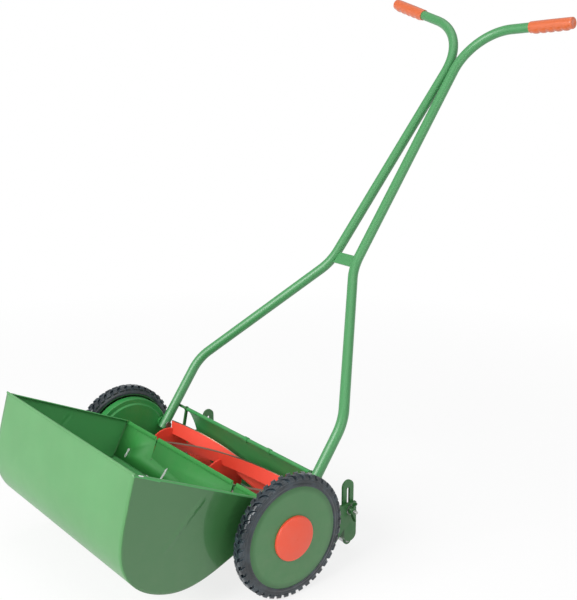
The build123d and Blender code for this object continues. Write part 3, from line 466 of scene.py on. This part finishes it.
def addGrid(work, rows, closeRows=False, closeColumns=False):
    made = [[work.verts.new(point) for point in row] for row in rows]
    rowCount, columnCount = len(made), len(made[0])
    for i in range(rowCount if closeRows else rowCount - 1):
        for j in range(columnCount if closeColumns else columnCount - 1):
            corners = (made[i][j], made[i][(j + 1) % columnCount])
            corners += (made[(i + 1) % rowCount][(j + 1) % columnCount], made[(i + 1) % rowCount][j])
            if len(set(corners)) == 4:
                work.faces.new(corners)
    return made


def closeEnds(work, made):
    work.faces.new(made[0])
    work.faces.new(made[-1])


def wholeTurn(count):  # evenly spaced angles around a circle
    return [2 * math.pi * k / count for k in range(count)]


def smoothCurve(points, count):  # natural cubic through the points, spaced by chord length
    points = np.array(points, float)
    step = np.linalg.norm(np.diff(points, axis=0), axis=1)
    knots = np.concatenate([[0], np.cumsum(step)])
    size = len(points)
    system = np.eye(size)
    right = np.zeros_like(points)
    for i in range(1, size - 1):
        system[i, i - 1:i + 2] = step[i - 1], 2 * (step[i - 1] + step[i]), step[i]
        slopes = (points[i + 1] - points[i]) / step[i] - (points[i] - points[i - 1]) / step[i - 1]
        right[i] = 6 * slopes
    second = np.linalg.solve(system, right)
    curve = []
    for along in np.linspace(0, knots[-1], count):
        i = min(int(np.searchsorted(knots, along, side="right")) - 1, size - 2)
        a, b, h = knots[i + 1] - along, along - knots[i], step[i]
        curve.append(
            (second[i] * a ** 3 + second[i + 1] * b ** 3) / (6 * h)
            + (points[i] / h - second[i] * h / 6) * a
            + (points[i + 1] / h - second[i + 1] * h / 6) * b
        )
    return curve


def addTube(work, points, radii, around=12):  # closed tube along points with a radius at each
    rings = []
    for i, point in enumerate(points):
        ahead = Vector(points[min(i + 1, len(points) - 1)]) - Vector(points[max(i - 1, 0)])
        turn = ahead.to_track_quat("Z", "Y")
        spokes = [turn @ Vector((math.cos(angle), math.sin(angle), 0)) for angle in wholeTurn(around)]
        rings.append([Vector(point) + spoke * radii[i] for spoke in spokes])
    made = addGrid(work, rings, closeColumns=True)
    work.faces.new(list(reversed(made[0])))
    work.faces.new(made[-1])


tyre = {
    "lugCount": 42,
    "lugBase": 12.4 * mm,
    "lugTop": 9.4 * mm,
    "chevron": 0.62,  # share of a pitch that each lug leans over
    "chevronReach": 11.0,  # how far from the middle a lug goes on leaning, in millimetres
    "treadMiddle": 12.8,  # across from the inner side, in millimetres
    "stepsPerLug": 4,
    "softening": 0.9 * mm,
    "softSegments": 2,
    "softAngle": 38,
}
# carcass section: across the tyre from its inner side, and radius, both in millimetres
carcass = [
    (0, 98.5), (0, 103.2), (1.0, 105.2), (2.2, 107.6), (4.4, 110.0), (8.4, 110.6), (16.8, 110.6),
    (19.8, 110.2), (21.8, 109.2), (23.2, 107.4), (24.0, 105.4), (24.3, 103.6), (24.2, 102.0), (24.0, 101.2),
    (24.3, 100.4), (25.0, 99.4), (25.4, 98.2), (25.6, 97.0), (25.5, 95.9), (25.1, 95.0), (24.6, 94.3),
    (24.3, 94.3), (24.3, 98.5),
]
# lug spine: across from the middle of the tread, base radius, then the top's place and radius
lugSpine = [
    (-0.5, 108.8, -0.5, 114.3), (3.6, 108.8, 3.6, 114.8), (6.6, 108.8, 7.8, 114.8), (7.8, 107.8, 10.3, 113.6),
    (8.8, 106.6, 11.6, 111.4), (9.4, 105.8, 12.1, 109.2), (9.8, 105.4, 11.7, 107.4),
]


def wheelSpot(side, sign):  # gives the place at a distance across the wheel, a radius and an angle
    low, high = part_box(f"tyre_{side}")
    inner = low.x if sign > 0 else high.x
    centreY, centreZ = (low.y + high.y) / 2, (low.z + high.z) / 2

    def spot(across, radius, angle):
        return (inner + sign * across, centreY + radius * math.cos(angle), centreZ + radius * math.sin(angle))

    return spot


def makeTyre(side, sign):
    spot = wheelSpot(side, sign)
    work = bmesh.new()
    rings = [
        [spot(across * mm, radius * mm, angle) for across, radius in carcass]
        for angle in wholeTurn(tyre["lugCount"] * tyre["stepsPerLug"])
    ]
    addGrid(work, rings, closeRows=True, closeColumns=True)
    pitch = 2 * math.pi / tyre["lugCount"]
    middle = tyre["treadMiddle"]
    for row, direction in ((0, -1), (1, 1)):
        for lug in range(tyre["lugCount"]):
            sections = []
            for across, base, topAcross, top in lugSpine:
                lean = tyre["chevron"] * pitch * (1 - min(max(across, 0) / tyre["chevronReach"], 1.0))
                angle = (lug + 0.5 * row) * pitch + sign * lean
                wide = tyre["lugBase"] / 2 / (base * mm)
                narrow = tyre["lugTop"] / 2 / (top * mm)
                at, topAt = (middle + direction * across) * mm, (middle + direction * topAcross) * mm
                sections.append([
                    spot(at, base * mm, angle - wide), spot(topAt, top * mm, angle - narrow),
                    spot(topAt, top * mm, angle + narrow), spot(at, base * mm, angle + wide),
                ])
            closeEnds(work, addGrid(work, sections, closeColumns=True))
    rubber, body, node = finishes["tyreRubber"], f"wheel_{side}", f"tyre_{side}"
    piece = place(f"tyreCasing_{side}", work, rubber, body, joined=False)
    softEdges(piece, "softLugs", tyre["softening"], tyre["softSegments"], tyre["softAngle"])
    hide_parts(f"tyre_{side}")


# pressed wheel disc: across from the tyre's inner side and radius, in millimetres
disc = {
    "hub": [(26.0, 11.0), (-9.0, 11.0), (-9.0, 17.0), (17.5, 17.0), (23.5, 23.0), (23.5, 96.0), (1.5, 96.0)],
    "seat": [(1.5, 98.5), (24.3, 98.5)],
    "face": 26.0,
    "edgeDrop": 1.7,
    # radii, raggedness, share and colour of the ring of painted shade near the tyre
    "paintedShadeRadii": (84.5, 92.0),
    "paintedShadeRagged": 3.0,
    "paintedShadeShare": 0.75,
    "paintedShadeColour": srgb(34, 92, 40),
    "edgeRadii": (94.3, 83.3),
    "edgeSteps": 14,
    "around": 180,
}


def discFinish():  # the wheel's enamel with a darker ring painted on as shade where it dips towards the tyre
    material = finishes["wheelGreen"].copy()
    material.name = "wheelDiscGreen"
    tree = material.node_tree
    shader = tree.nodes["Principled BSDF"]
    low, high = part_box("tyre_left")
    coords, radius = spinRadius(tree, (low + high) / 2)
    ragged = noiseValue(tree, coords, scale=40.0, detail=4.0, roughness=0.6)
    radius = math2(tree, "ADD", radius, times(tree, ragged, disc["paintedShadeRagged"] * mm))
    start, full = (limit * mm for limit in disc["paintedShadeRadii"])
    ring = remap(tree, radius, start, full, 0.0, disc["paintedShadeShare"])
    unshaded = shader.inputs["Base Color"].links[0].from_socket
    tree.links.new(blendColour(tree, ring, unshaded, disc["paintedShadeColour"]), shader.inputs["Base Color"])
    return material


def makeDisc(side, sign, finish):
    spot = wheelSpot(side, sign)
    outer, inner = disc["edgeRadii"]
    profile = disc["hub"] + disc["seat"]
    for k in range(disc["edgeSteps"] + 1):
        share = 1 - k / disc["edgeSteps"]
        profile.append((disc["face"] - disc["edgeDrop"] * share ** 2, inner + (outer - inner) * share))
    rings = [
        [spot(across * mm, radius * mm, angle) for across, radius in profile]
        for angle in wholeTurn(disc["around"])
    ]
    work = bmesh.new()
    addGrid(work, rings, closeRows=True, closeColumns=True)
    piece = place(f"pressedDisc_{side}", work, finish, f"wheel_{side}", 25.0)
    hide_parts(f"wheel_disc_{side}")


finishes["wheelDiscGreen"] = discFinish()
for side, sign in sides.items():
    makeTyre(side, sign)
    makeDisc(side, sign, finishes["wheelDiscGreen"])
print("tyres and wheel discs built")


catcher = {
    "lip": fromAxle(-276.5, 295.0),
    "belly": [
        fromAxle(-293.0, 238.0), fromAxle(-306.0, 182.0), fromAxle(-306.5, 141.0), fromAxle(-289.0, 101.0),
        fromAxle(-250.0, 71.5),
    ],
    "keel": [fromAxle(-200.0, 58.5), fromAxle(-139.0, 67.5), fromAxle(-95.0, 84.0)],
    "heel": fromAxle(-52.0, 100.0),
    "rearTop": fromAxle(-14.0, 170.0),
    "sheet": 1.2,
    "rim": 9.0,
    "rimBend": 2.0,
    "rimBand": 3.0,
    "lipWire": 2.0,
    "rimTurns": (0.25, 0.5, 0.75, 1.0),
    "rimFade": (6, 2),  # stations of the belly over which the rim comes in at the lip and at the heel
    "swage": (fromAxle(-150.0, 213.0), fromAxle(-226.0, 145.0)),  # ends of the pressed bead in each side
    "swageHeight": 1.6,
    "swageWidth": 4.5,
    "swageFall": 2.5,
    "ripple": 0.2,
    "rippleAcross": 61.0,
    "rippleStart": 0.7,
    "rippleAlong": 11.0,
    "bellySteps": 96,
    "cheekSteps": 39,
    "scoopSteps": 48,
    "wireSteps": 40,
}
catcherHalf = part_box("catcher_side_left")[1].x / mm
bellyCurve = smoothCurve(
    [catcher["lip"], *catcher["belly"], *catcher["keel"], catcher["heel"]], catcher["bellySteps"]
)


def sheetSkin(piece):  # gives the sheet its thickness, half to each side of the mesh
    skin = piece.modifiers.new("sheetThickness", "SOLIDIFY")
    skin.thickness, skin.offset = catcher["sheet"] * mm, 0.0
    return skin


def swageRise(point):  # height of the pressed bead at a point of the side
    start, end = Vector(catcher["swage"][0]), Vector(catcher["swage"][1])
    run = end - start
    share = min(max((Vector(point) - start).dot(run) / run.length_squared, 0), 1)
    away = (Vector(point) - start - run * share).length
    return catcher["swageHeight"] * math.exp(-((away / catcher["swageWidth"]) ** 2) * catcher["swageFall"])


def makeCheek(side, sign):
    work = bmesh.new()
    lip, rear = Vector(catcher["lip"]), Vector(catcher["rearTop"])
    middle = catcherHalf - catcher["sheet"] / 2
    bend, rim = catcher["rimBend"], catcher["rim"]
    lipFade, heelFade = catcher["rimFade"]
    up = Vector((-(rear - lip).y, (rear - lip).x)).normalized()
    rows = []
    for i, low in enumerate(bellyCurve):
        top = lip.lerp(rear, i / (len(bellyCurve) - 1))
        foot = Vector(low)
        row = []
        for step in range(catcher["cheekSteps"] + 1):
            at = foot.lerp(top - up * bend, step / catcher["cheekSteps"])
            row.append((sign * (middle + swageRise(at)) * mm, at.x * mm, at.y * mm))
        for turn in catcher["rimTurns"]:
            angle = turn * math.pi / 2
            at = top - up * bend * (1 - math.sin(angle)) - up * catcher["sheet"] / 2
            row.append((sign * (middle - bend * (1 - math.cos(angle))) * mm, at.x * mm, at.y * mm))
        fade = min(1.0, i / lipFade, (len(bellyCurve) - 1 - i) / heelFade)
        at = top - up * catcher["sheet"] / 2
        across = middle - bend - (rim - bend) * fade - 0.01  # a hair more, so no two corners fall together
        row.append((sign * across * mm, at.x * mm, at.y * mm))
        rows.append(row)
    addGrid(work, rows)
    # the outer faces take the darker copy of the catcher paint, as painted shade
    piece = place(f"catcherCheek_{side}", work, finishes["cheekGreen"], "catcher")
    mesh = piece.data
    if mesh.polygons[0].normal.x * sign <= 0:
        mesh.flip_normals()
    # the lighter copy, painted light, goes on the inside and along the rim band
    mesh.materials.append(finishes["insideGreen"])
    for polygon in mesh.polygons:
        at = Vector((polygon.center.y, polygon.center.z)) / mm
        polygon.material_index = int((at - lip).dot(up) > -catcher["rimBand"])
    sheetSkin(piece).material_offset = 1
    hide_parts(f"catcher_side_{side}")


def makeScoop():
    work = bmesh.new()
    half = catcherHalf - catcher["sheet"]
    columns, wires = catcher["scoopSteps"], catcher["wireSteps"]
    rows = []
    for i, (y, z) in enumerate(bellyCurve):
        row = []
        for k in range(columns + 1):
            x = -half + 2 * half * k / columns
            calm = math.sin(math.pi * i / (len(bellyCurve) - 1)) * math.cos(math.pi * x / (2 * half))
            wave = catcher["ripple"] * calm * math.sin(x / catcher["rippleAcross"] + catcher["rippleStart"])
            wave *= math.cos(i / catcher["rippleAlong"])
            row.append((x * mm, (y + max(wave, 0)) * mm, z * mm))
        rows.append(row)
    addGrid(work, rows)
    # the inner face takes the lighter copy of the paint, as painted light
    outer, inner = finishes["scoopGreen"], finishes["insideGreen"]
    piece = place("catcherScoopSheet", work, outer, "catcher")
    mesh = piece.data
    mesh.materials.append(inner)
    if mesh.polygons[0].normal.y >= 0:  # the first finish goes on the face that the normals leave
        mesh.materials[0], mesh.materials[1] = inner, outer
    sheetSkin(piece).material_offset = 1
    work = bmesh.new()
    lip = catcher["lip"]
    points = [((-half + 2 * half * k / wires) * mm, lip[0] * mm, lip[1] * mm) for k in range(wires + 1)]
    addTube(work, points, [catcher["lipWire"] * mm] * len(points))
    place("catcherLipWire", work, outer, "catcher")
    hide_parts("catcher_scoop")


# rear panel: slits and hem pieces as distance across and down from its top edge, in millimetres
rearPanel = {
    "length": 78.4,
    "slits": (
        ((-124.6, 0), (-120.2, 13), (-115.8, 42), (-114.8, 42), (-117.4, 13), (-117.0, 0)),
        ((140.8, 0), (145.6, 20), (149.8, 34), (150.6, 34), (151.4, 20), (152.4, 0)),
    ),
    "hems": ((-238.0, -125.6), (-116.0, 140.0), (153.4, 238.0)),
    "hemProfile": (
        (0.2, 1.2), (0.1, 2.0), (0.5, 2.5), (1.4, 2.7), (7.0, 2.5), (7.8, 2.2), (8.2, 1.7), (8.3, 1.2),
    ),
    "rivets": ((-112.5, 45.0), (153.0, 38.0)),
    "rivetRadius": 2.6,
    "rivetSink": 0.1,
    "rivetRise": 0.9,
    "rivetCrown": ((0.0, 1.0), (0.7, 0.9), (1.0, 0.4)),  # share of the height, share of the radius
}
rearDown = (Vector(catcher["heel"]) - Vector(catcher["rearTop"])).normalized()
rearOut = Vector((rearDown.y, -rearDown.x))


def rearSpot(x, down, offset):  # place on the rear panel, offset towards its open side
    at = Vector(catcher["rearTop"]) + rearDown * down + rearOut * offset
    return Vector((x, at.x, at.y)) * mm


def makeRearPanel():
    half = catcherHalf - catcher["sheet"]
    outline = [(-half, 0), *rearPanel["slits"][0], *rearPanel["slits"][1], (half, 0)]
    outline += [(half, rearPanel["length"]), (-half, rearPanel["length"])]
    work = bmesh.new()
    work.faces.new([work.verts.new(rearSpot(x, down, catcher["sheet"] / 2)) for x, down in outline])
    piece = place("catcherRearPanel", work, finishes["panelGreen"], "catcher")
    sheetSkin(piece)
    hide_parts("catcher_rear")
    work = bmesh.new()
    for start, end in rearPanel["hems"]:
        rows = [[rearSpot(x, *point) for point in rearPanel["hemProfile"]] for x in (start, end)]
        closeEnds(work, addGrid(work, rows, closeColumns=True))
    place("catcherHem", work, finishes["panelGreen"], "catcher")
    work = bmesh.new()
    for x, down in rearPanel["rivets"]:
        base = rearSpot(x, down, catcher["sheet"] - rearPanel["rivetSink"])
        lift = rearSpot(x, down, catcher["sheet"] + rearPanel["rivetRise"]) - base
        points = [base + lift * height for height, share in rearPanel["rivetCrown"]]
        radii = [rearPanel["rivetRadius"] * mm * share for height, share in rearPanel["rivetCrown"]]
        addTube(work, points, radii, around=16)
    place("catcherRivets", work, finishes["scoopGreen"], "catcher")


for side, sign in sides.items():
    makeCheek(side, sign)
makeScoop()
makeRearPanel()
print("grass catcher built")


weld = {
    "ripple": 0.22,
    "pitch": 1.7 * mm,
    "stepsPerPitch": 4,
    "fewestSteps": 8,
    "swayTurns": 9.0,
    "sway": 0.12,  # share of the radius by which a bead wanders up and down
    "endRadius": 0.35,  # share of the radius at each end, and how fast it grows from there
    "endGrowth": 4,
    "around": 10,
}


def makeWeld(name, start, end, radius, body, likeNode, finish=None):
    start, end = Vector(start), Vector(end)
    length = (end - start).length
    count = max(int(length / weld["pitch"] * weld["stepsPerPitch"]), weld["fewestSteps"])
    points, radii = [], []
    for k in range(count + 1):
        share = k / count
        sway = math.sin(share * weld["swayTurns"]) * radius * weld["sway"]
        points.append(start.lerp(end, share) + Vector((0, 0, sway)))
        swell = 1 + weld["ripple"] * math.sin(2 * math.pi * share * length / weld["pitch"])
        taper = min(1.0, weld["endRadius"] + weld["endGrowth"] * min(share, 1 - share))
        radii.append(radius * swell * taper)
    work = bmesh.new()
    addTube(work, points, radii, weld["around"])
    place(name, work, finish or finishFor(likeNode), body, 60.0)


bridge = {"weldRadius": 1.7 * mm, "weldReach": 11.0 * mm, "lift": 2.2 * mm, "inset": 0.6 * mm}
plateLow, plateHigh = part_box("bridge_plate")
plateRun = Vector((0, plateHigh.y - plateLow.y, plateHigh.z - plateLow.z)).normalized()
plateFace = Vector((0, -plateRun.z, plateRun.y))
plateMiddle = (plateLow + plateHigh) / 2
for side, sign in sides.items():
    for face, label in ((1, "rear"), (-1, "front")):
        across = Vector((sign * (plateHigh.x - bridge["inset"]), 0, 0))
        middle = plateMiddle + across + plateFace * face * bridge["lift"]
        foot, top = middle - plateRun * bridge["weldReach"], middle + plateRun * bridge["weldReach"]
        makeWeld(f"bridgeWeld_{label}_{side}", foot, top, bridge["weldRadius"], "frame", "bridge_plate")

# near-white tacks on the catcher, standing in for glints as painted highlights: across and down the rear
# panel at each end, in millimetres
tacks = {
    "radius": 2.4 * mm,
    "proud": 0.5,
    "rear": (((-195.5, 50.0), (-199.0, 71.0)), ((-53.0, 44.0), (-60.0, 74.0))),
    "lipRadius": 1.3 * mm,
    "lipDrop": 0.6,
    "lip": ((7.0, 2.0), (18.0, 2.0)),  # back from the lip along the rim, and inwards from the cheek
}
# beads down the corners inside the catcher: how far in, how proud, and down from the top at each end
cornerWelds = {"radius": 1.3 * mm, "inset": 0.9, "proud": 0.7, "ends": (2.0, 76.0)}
paintedGlint = finishes["brazeBright"]
for side, sign in sides.items():
    x = sign * (catcherHalf - catcher["sheet"] - cornerWelds["inset"])
    spots = [rearSpot(x, down, catcher["sheet"] + cornerWelds["proud"]) for down in cornerWelds["ends"]]
    makeWeld(f"cornerWeld_{side}", *spots, cornerWelds["radius"], "catcher", "catcher_rear")
    rim = (Vector(catcher["rearTop"]) - Vector(catcher["lip"])).normalized()
    spots = []
    for back, inward in tacks["lip"]:
        at = Vector(catcher["lip"]) + rim * back
        spots.append(Vector((sign * (catcherHalf - inward), at.x, at.y - tacks["lipDrop"])) * mm)
    makeWeld(f"lipTack_{side}", *spots, tacks["lipRadius"], "catcher", "catcher_rear", paintedGlint)
for tack, ends in enumerate(tacks["rear"]):
    spots = [rearSpot(x, down, catcher["sheet"] + tacks["proud"]) for x, down in ends]
    makeWeld(f"rearTack_{tack}", *spots, tacks["radius"], "catcher", "catcher_rear", paintedGlint)
print("weld beads laid")


handle = {
    "radius": 10.3 * mm,
    "around": 40,
    "armX": 238.2,
    "foot": (68.7, 131.8),  # side-view places from the axle, in millimetres
    "knee": (168.0, 271.0),
    "throatX": 35.0,
    "throat": (374.0, 496.0),
    "shoulderX": 6.2,
    "shoulder": (742.0, 960.5),
    "tipX": 249.5,
    "tip": (763.0, 997.5),
    "tipRise": {"left": -14.0, "right": 25.5},
    "lowerBends": (90.0, 100.0),
    "shoulderBend": {"left": 108.0, "right": 128.0},
    "bendSteps": 28,
}


def bentPoints(corners, radii, steps):  # centreline with an arc at each inner corner
    points = [corners[0]]
    for before, here, after, radius in zip(corners, corners[1:], corners[2:], radii):
        incoming, outgoing = (here - before).normalized(), (after - here).normalized()
        turn = incoming.angle(outgoing)
        centre = here + (outgoing - incoming).normalized() * radius / math.cos(turn / 2)
        start = here - incoming * radius * math.tan(turn / 2)
        spoke, forward = (start - centre).normalized(), incoming
        for k in range(steps + 1):
            angle = turn * k / steps
            points.append(centre + (spoke * math.cos(angle) + forward * math.sin(angle)) * radius)
    points.append(corners[-1])
    return points


def handleCorners(side, sign):
    tipY, tipZ = handle["tip"]
    places = [
        (handle["armX"], *handle["foot"]),
        (handle["armX"], *handle["knee"]),
        (handle["throatX"], *handle["throat"]),
        (handle["shoulderX"], *handle["shoulder"]),
        (handle["tipX"], tipY, tipZ + handle["tipRise"][side]),
    ]
    return [Vector((sign * x, *fromAxle(y, z))) * mm for x, y, z in places]


def makeHandleTube(side, sign):
    radii = [radius * mm for radius in (*handle["lowerBends"], handle["shoulderBend"][side])]
    points = bentPoints(handleCorners(side, sign), radii, handle["bendSteps"])
    rings = []
    across = Vector((1, 0, 0))
    angles = wholeTurn(handle["around"])
    for i, point in enumerate(points):
        ahead = (points[min(i + 1, len(points) - 1)] - points[max(i - 1, 0)]).normalized()
        across = (across - ahead * across.dot(ahead)).normalized()
        other = ahead.cross(across)
        spokes = [across * math.cos(angle) + other * math.sin(angle) for angle in angles]
        rings.append([point + spoke * handle["radius"] for spoke in spokes])
    work = bmesh.new()
    made = addGrid(work, rings, closeColumns=True)
    work.faces.new(list(reversed(made[0])))
    work.faces.new(made[-1])
    piece = place(f"bentTube_{side}", work, finishes["tubeGreen"], "frame", 60.0)
    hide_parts(f"handle_tube_{side}")


for side, sign in sides.items():
    makeHandleTube(side, sign)
print("handle tubes bent")


grip = {
    "length": 98.0 * mm,
    "radius": 12.3 * mm,
    "bore": 10.35 * mm,
    "ridges": 5,
    "ridgeHeight": 2.2 * mm,
    "ridgeSpread": 1.4,
    "ridgeSharpness": 0.75,
    "ridged": (0.05, 0.93),  # shares of the sleeve's length between which it is ridged
    "swell": 0.25 * mm,
    "mouthDepth": 0.6 * mm,
    "mouthChamfer": 0.5 * mm,
    "shrink": 0.1 * mm,
    "capLength": 3.0 * mm,
    "capRound": 3.0 * mm,
    "capTurns": (0.3, 0.6, 0.85, 1.0),
    "capDimple": ((0.1, 5.0), (0.8, 3.4), (0.9, 0.4)),  # back from the end and radius, in millimetres
    "along": 60,
    "around": 40,
}


def makeGrip(side, sign):
    shoulder, tip = handleCorners(side, sign)[-2:]
    ahead = (tip - shoulder).normalized()
    down = (Vector((0, 0, -1)) + ahead * ahead.z).normalized()
    across = ahead.cross(down)
    length, whole = grip["length"], grip["length"] + grip["capLength"]
    bore, outside, mouth, capRound = grip["bore"], grip["radius"], grip["mouthDepth"], grip["capRound"]
    first, last = grip["ridged"]
    # each station along the sleeve: distance from its mouth, radius, and whether it is ridged
    stations = [(mouth, bore, False), (0, bore, False), (0, outside - grip["mouthChamfer"], False)]
    for k in range(grip["along"] + 1):
        share = k / grip["along"]
        swell = math.sin(math.pi * share) * grip["swell"]
        s = mouth + share * (whole - (mouth + capRound))
        stations.append((s, outside + swell - grip["shrink"], first < share < last))
    for turn in grip["capTurns"]:
        angle = turn * math.pi / 2
        s = whole - capRound + capRound * math.sin(angle)
        stations.append((s, outside - capRound * (1 - math.cos(angle)), False))
    stations += [(whole - back * mm, radius * mm, False) for back, radius in grip["capDimple"]]
    rings = []
    for s, radius, ridged in stations:
        ring = []
        wave = abs(math.sin(math.pi * grip["ridges"] * (s - first * whole) / ((last - first) * whole)))
        bump = wave ** grip["ridgeSharpness"] if ridged else 0.0
        for angle in wholeTurn(grip["around"]):
            under = max(math.cos(angle), 0.0) ** grip["ridgeSpread"]
            reach = radius + under * bump * grip["ridgeHeight"]
            spoke = down * math.cos(angle) + across * math.sin(angle)
            ring.append(tip + ahead * (s - length) + spoke * reach)
        rings.append(ring)
    work = bmesh.new()
    closeEnds(work, addGrid(work, rings, closeColumns=True))
    piece = place(f"gripSleeve_{side}", work, finishes["gripOrange"], "frame", 50.0)
    smooth = piece.modifiers.new("moulded", "SUBSURF")
    smooth.levels = smooth.render_levels = 1
    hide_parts(f"grip_{side}")


for side, sign in sides.items():
    makeGrip(side, sign)
print("handgrips built")


# the hub's section as radius and height above the washer, in millimetres
wingNut = {
    "hub": [(3.3, 0), (7.6, 0), (8.0, 0.6), (7.8, 1.6), (6.9, 6.0), (6.2, 8.6), (5.6, 9.0), (3.3, 9.0)],
    "around": 32,
    "wingRoot": 8,  # out to here a wing has its root's thickness
    "rootHalf": 1.9,
    "wingHalf": 1.5,
    "lean": math.radians(86),
    "softening": 0.6 * mm,
    "softSegments": 3,
    "softAngle": 30,
}
# one wing, as distance out from the bolt and height above the washer, in millimetres
wingOutline = [
    (3.5, 1.2), (9.0, 1.0), (14.0, 4.2), (18.4, 8.4), (19.8, 12.0), (18.2, 14.8), (15.0, 14.2),
    (12.4, 11.2), (9.2, 8.6), (3.5, 8.6),
]


def makeWingNut(side, sign):
    low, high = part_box(f"wing_nut_{side}")
    base = low.x if sign > 0 else high.x
    centre = Vector((base, (low.y + high.y) / 2, (low.z + high.z) / 2))
    out = Vector((0, math.cos(wingNut["lean"]), math.sin(wingNut["lean"])))
    flat = Vector((0, -out.z, out.y))
    rise = Vector((sign, 0, 0))
    work = bmesh.new()
    rings = []
    for angle in wholeTurn(wingNut["around"]):
        ray = out * math.cos(angle) + flat * math.sin(angle)
        rings.append([centre + ray * radius * mm + rise * height * mm for radius, height in wingNut["hub"]])
    addGrid(work, rings, closeRows=True, closeColumns=True)
    for turn in (1, -1):
        rows = []
        for thickness in (-1.0, 1.0):
            row = []
            for distance, height in wingOutline:
                half = wingNut["rootHalf"] if distance < wingNut["wingRoot"] else wingNut["wingHalf"]
                spot = centre + out * turn * distance * mm + rise * height * mm
                row.append(spot + flat * thickness * half * mm)
            rows.append(row)
        closeEnds(work, addGrid(work, rows, closeColumns=True))
    node = f"wing_nut_{side}"
    piece = place(f"wingNutCast_{side}", work, finishes["frameGreen"], node, 40.0, joined=False)
    softEdges(piece, "castEdges", wingNut["softening"], wingNut["softSegments"], wingNut["softAngle"])
    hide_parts(f"wing_nut_{side}")


for side, sign in sides.items():
    makeWingNut(side, sign)
print("wing nuts built")


studio = {
    "floorSize": 40.0,
    "floorSteps": 20,
    "floorColour": (0.86, 0.86, 0.86, 1),
    "floorGrain": (0.74, 0.74, 0.74, 1),
    "grainShare": 0.06,
    "clearShare": 0.8,  # how far the floor near the object is lifted to plain white
    "clearReach": (0.7, 1.9),  # distances between which the lift grows to the whole
    "worldLevel": 0.34,
    "mirrorSky": 0.5,  # brightness of the upper air as glossy surfaces see it
    "mirrorRise": (-0.05, 0.3),  # between these heights of a ray it falls to that
}
standAt = Vector((0, axleY * mm, 0))


def makeFloor():
    work = bmesh.new()
    half = studio["floorSize"] / 2
    marks = [-half + 2 * half * i / studio["floorSteps"] for i in range(studio["floorSteps"] + 1)]
    addGrid(work, [[(x, y, 0) for y in marks] for x in marks])
    mesh = meshFrom("paleFloor", work)
    floor = addToScene("paleFloor", mesh)
    material = bpy.data.materials.new("paleFloor")
    material.use_nodes = True
    tree = material.node_tree
    tree.nodes.clear()
    coords = objectCoords(tree)
    grain = times(tree, noiseValue(tree, coords, scale=18.0, detail=4.0), studio["grainShare"])
    tone = blendColour(tree, grain, studio["floorColour"], studio["floorGrain"])
    diffuse = addNode(tree, "ShaderNodeBsdfDiffuse", {"Color": tone}).outputs[0]
    glow = addNode(tree, "ShaderNodeEmission", {"Strength": 1.0}).outputs[0]
    path = addNode(tree, "ShaderNodeLightPath").outputs
    seen = math2(tree, "ADD", path["Is Camera Ray"], path["Is Glossy Ray"])
    seen = math2(tree, "ADD", seen, path["Is Transmission Ray"], True)
    away = vectorMath(tree, "SUBTRACT", coords, standAt).outputs[0]
    distance = vectorMath(tree, "LENGTH", away).outputs[1]
    clear = remap(tree, distance, *studio["clearReach"], studio["clearShare"], 1.0)
    clear = times(tree, seen, clear)
    mixed = addNode(tree, "ShaderNodeMixShader", {0: clear, 1: diffuse, 2: glow})
    addNode(tree, "ShaderNodeOutputMaterial", {"Surface": mixed.outputs[0]})
    mesh.materials.append(material)


def makeWorld():
    world = bpy.data.worlds.new("studioAir")
    bpy.context.scene.world = world
    world.use_nodes = True
    tree = world.node_tree
    back = tree.nodes["Background"]
    path = addNode(tree, "ShaderNodeLightPath").outputs
    seen = math2(tree, "ADD", path["Is Camera Ray"], path["Is Transmission Ray"], True)
    direction = addNode(tree, "ShaderNodeTexCoord").outputs["Generated"]
    rise = addNode(tree, "ShaderNodeSeparateXYZ", {0: direction}).outputs[2]
    mirrored = remap(tree, rise, *studio["mirrorRise"], 1.0, studio["mirrorSky"])
    level = remap(tree, path["Is Glossy Ray"], 0.0, 1.0, studio["worldLevel"], mirrored)
    level = remap(tree, seen, 0.0, 1.0, level, 1.0)
    back.inputs["Color"].default_value = (1, 1, 1, 1)
    tree.links.new(level, back.inputs["Strength"])


def addLamp(name, location, target, size, power):  # places are taken from the ground below the axle
    location, target = Vector(location) + standAt, Vector(target) + standAt
    lamp = bpy.data.lights.new(name, "AREA")
    lamp.shape = "RECTANGLE"
    lamp.size, lamp.size_y = size
    lamp.energy = power
    item = addToScene(name, lamp)
    item.location = location
    item.rotation_euler = (target - location).to_track_quat("-Z", "Y").to_euler()


makeFloor()
makeWorld()
# each softbox: where it stands, where it looks, its size in metres and its power in watts
softboxes = {
    "frontSoftbox": ((0.2, -3.0, 2.2), (0, 0, 0.3), (2.6, 1.8), 150),
    "overheadSoftbox": ((0.0, 0.6, 3.4), (0, 0.2, 0.3), (2.6, 2.6), 25),
    "sideSoftbox": ((3.0, 0.5, 1.7), (0, 0, 0.3), (2.4, 2.0), 28),
}
for name, softbox in softboxes.items():
    addLamp(name, *softbox)

cameraSetup = {
    "location": (1.5542, -1.0233, 0.9949),
    "azimuth": 0.891906,
    "elevation": 0.273540,
    "lens": 61.46,
    "shift": (-0.0006, 0.0074),
}
lens = bpy.data.cameras.new("productCamera")
lens.lens = cameraSetup["lens"]
lens.shift_x, lens.shift_y = cameraSetup["shift"]
camera = addToScene("productCamera", lens)
camera.location = Vector(cameraSetup["location"]) + standAt
camera.rotation_euler = (math.pi / 2 - cameraSetup["elevation"], 0, cameraSetup["azimuth"])
bpy.context.scene.camera = camera
bpy.context.scene.view_settings.view_transform = "Standard"
print("studio set")
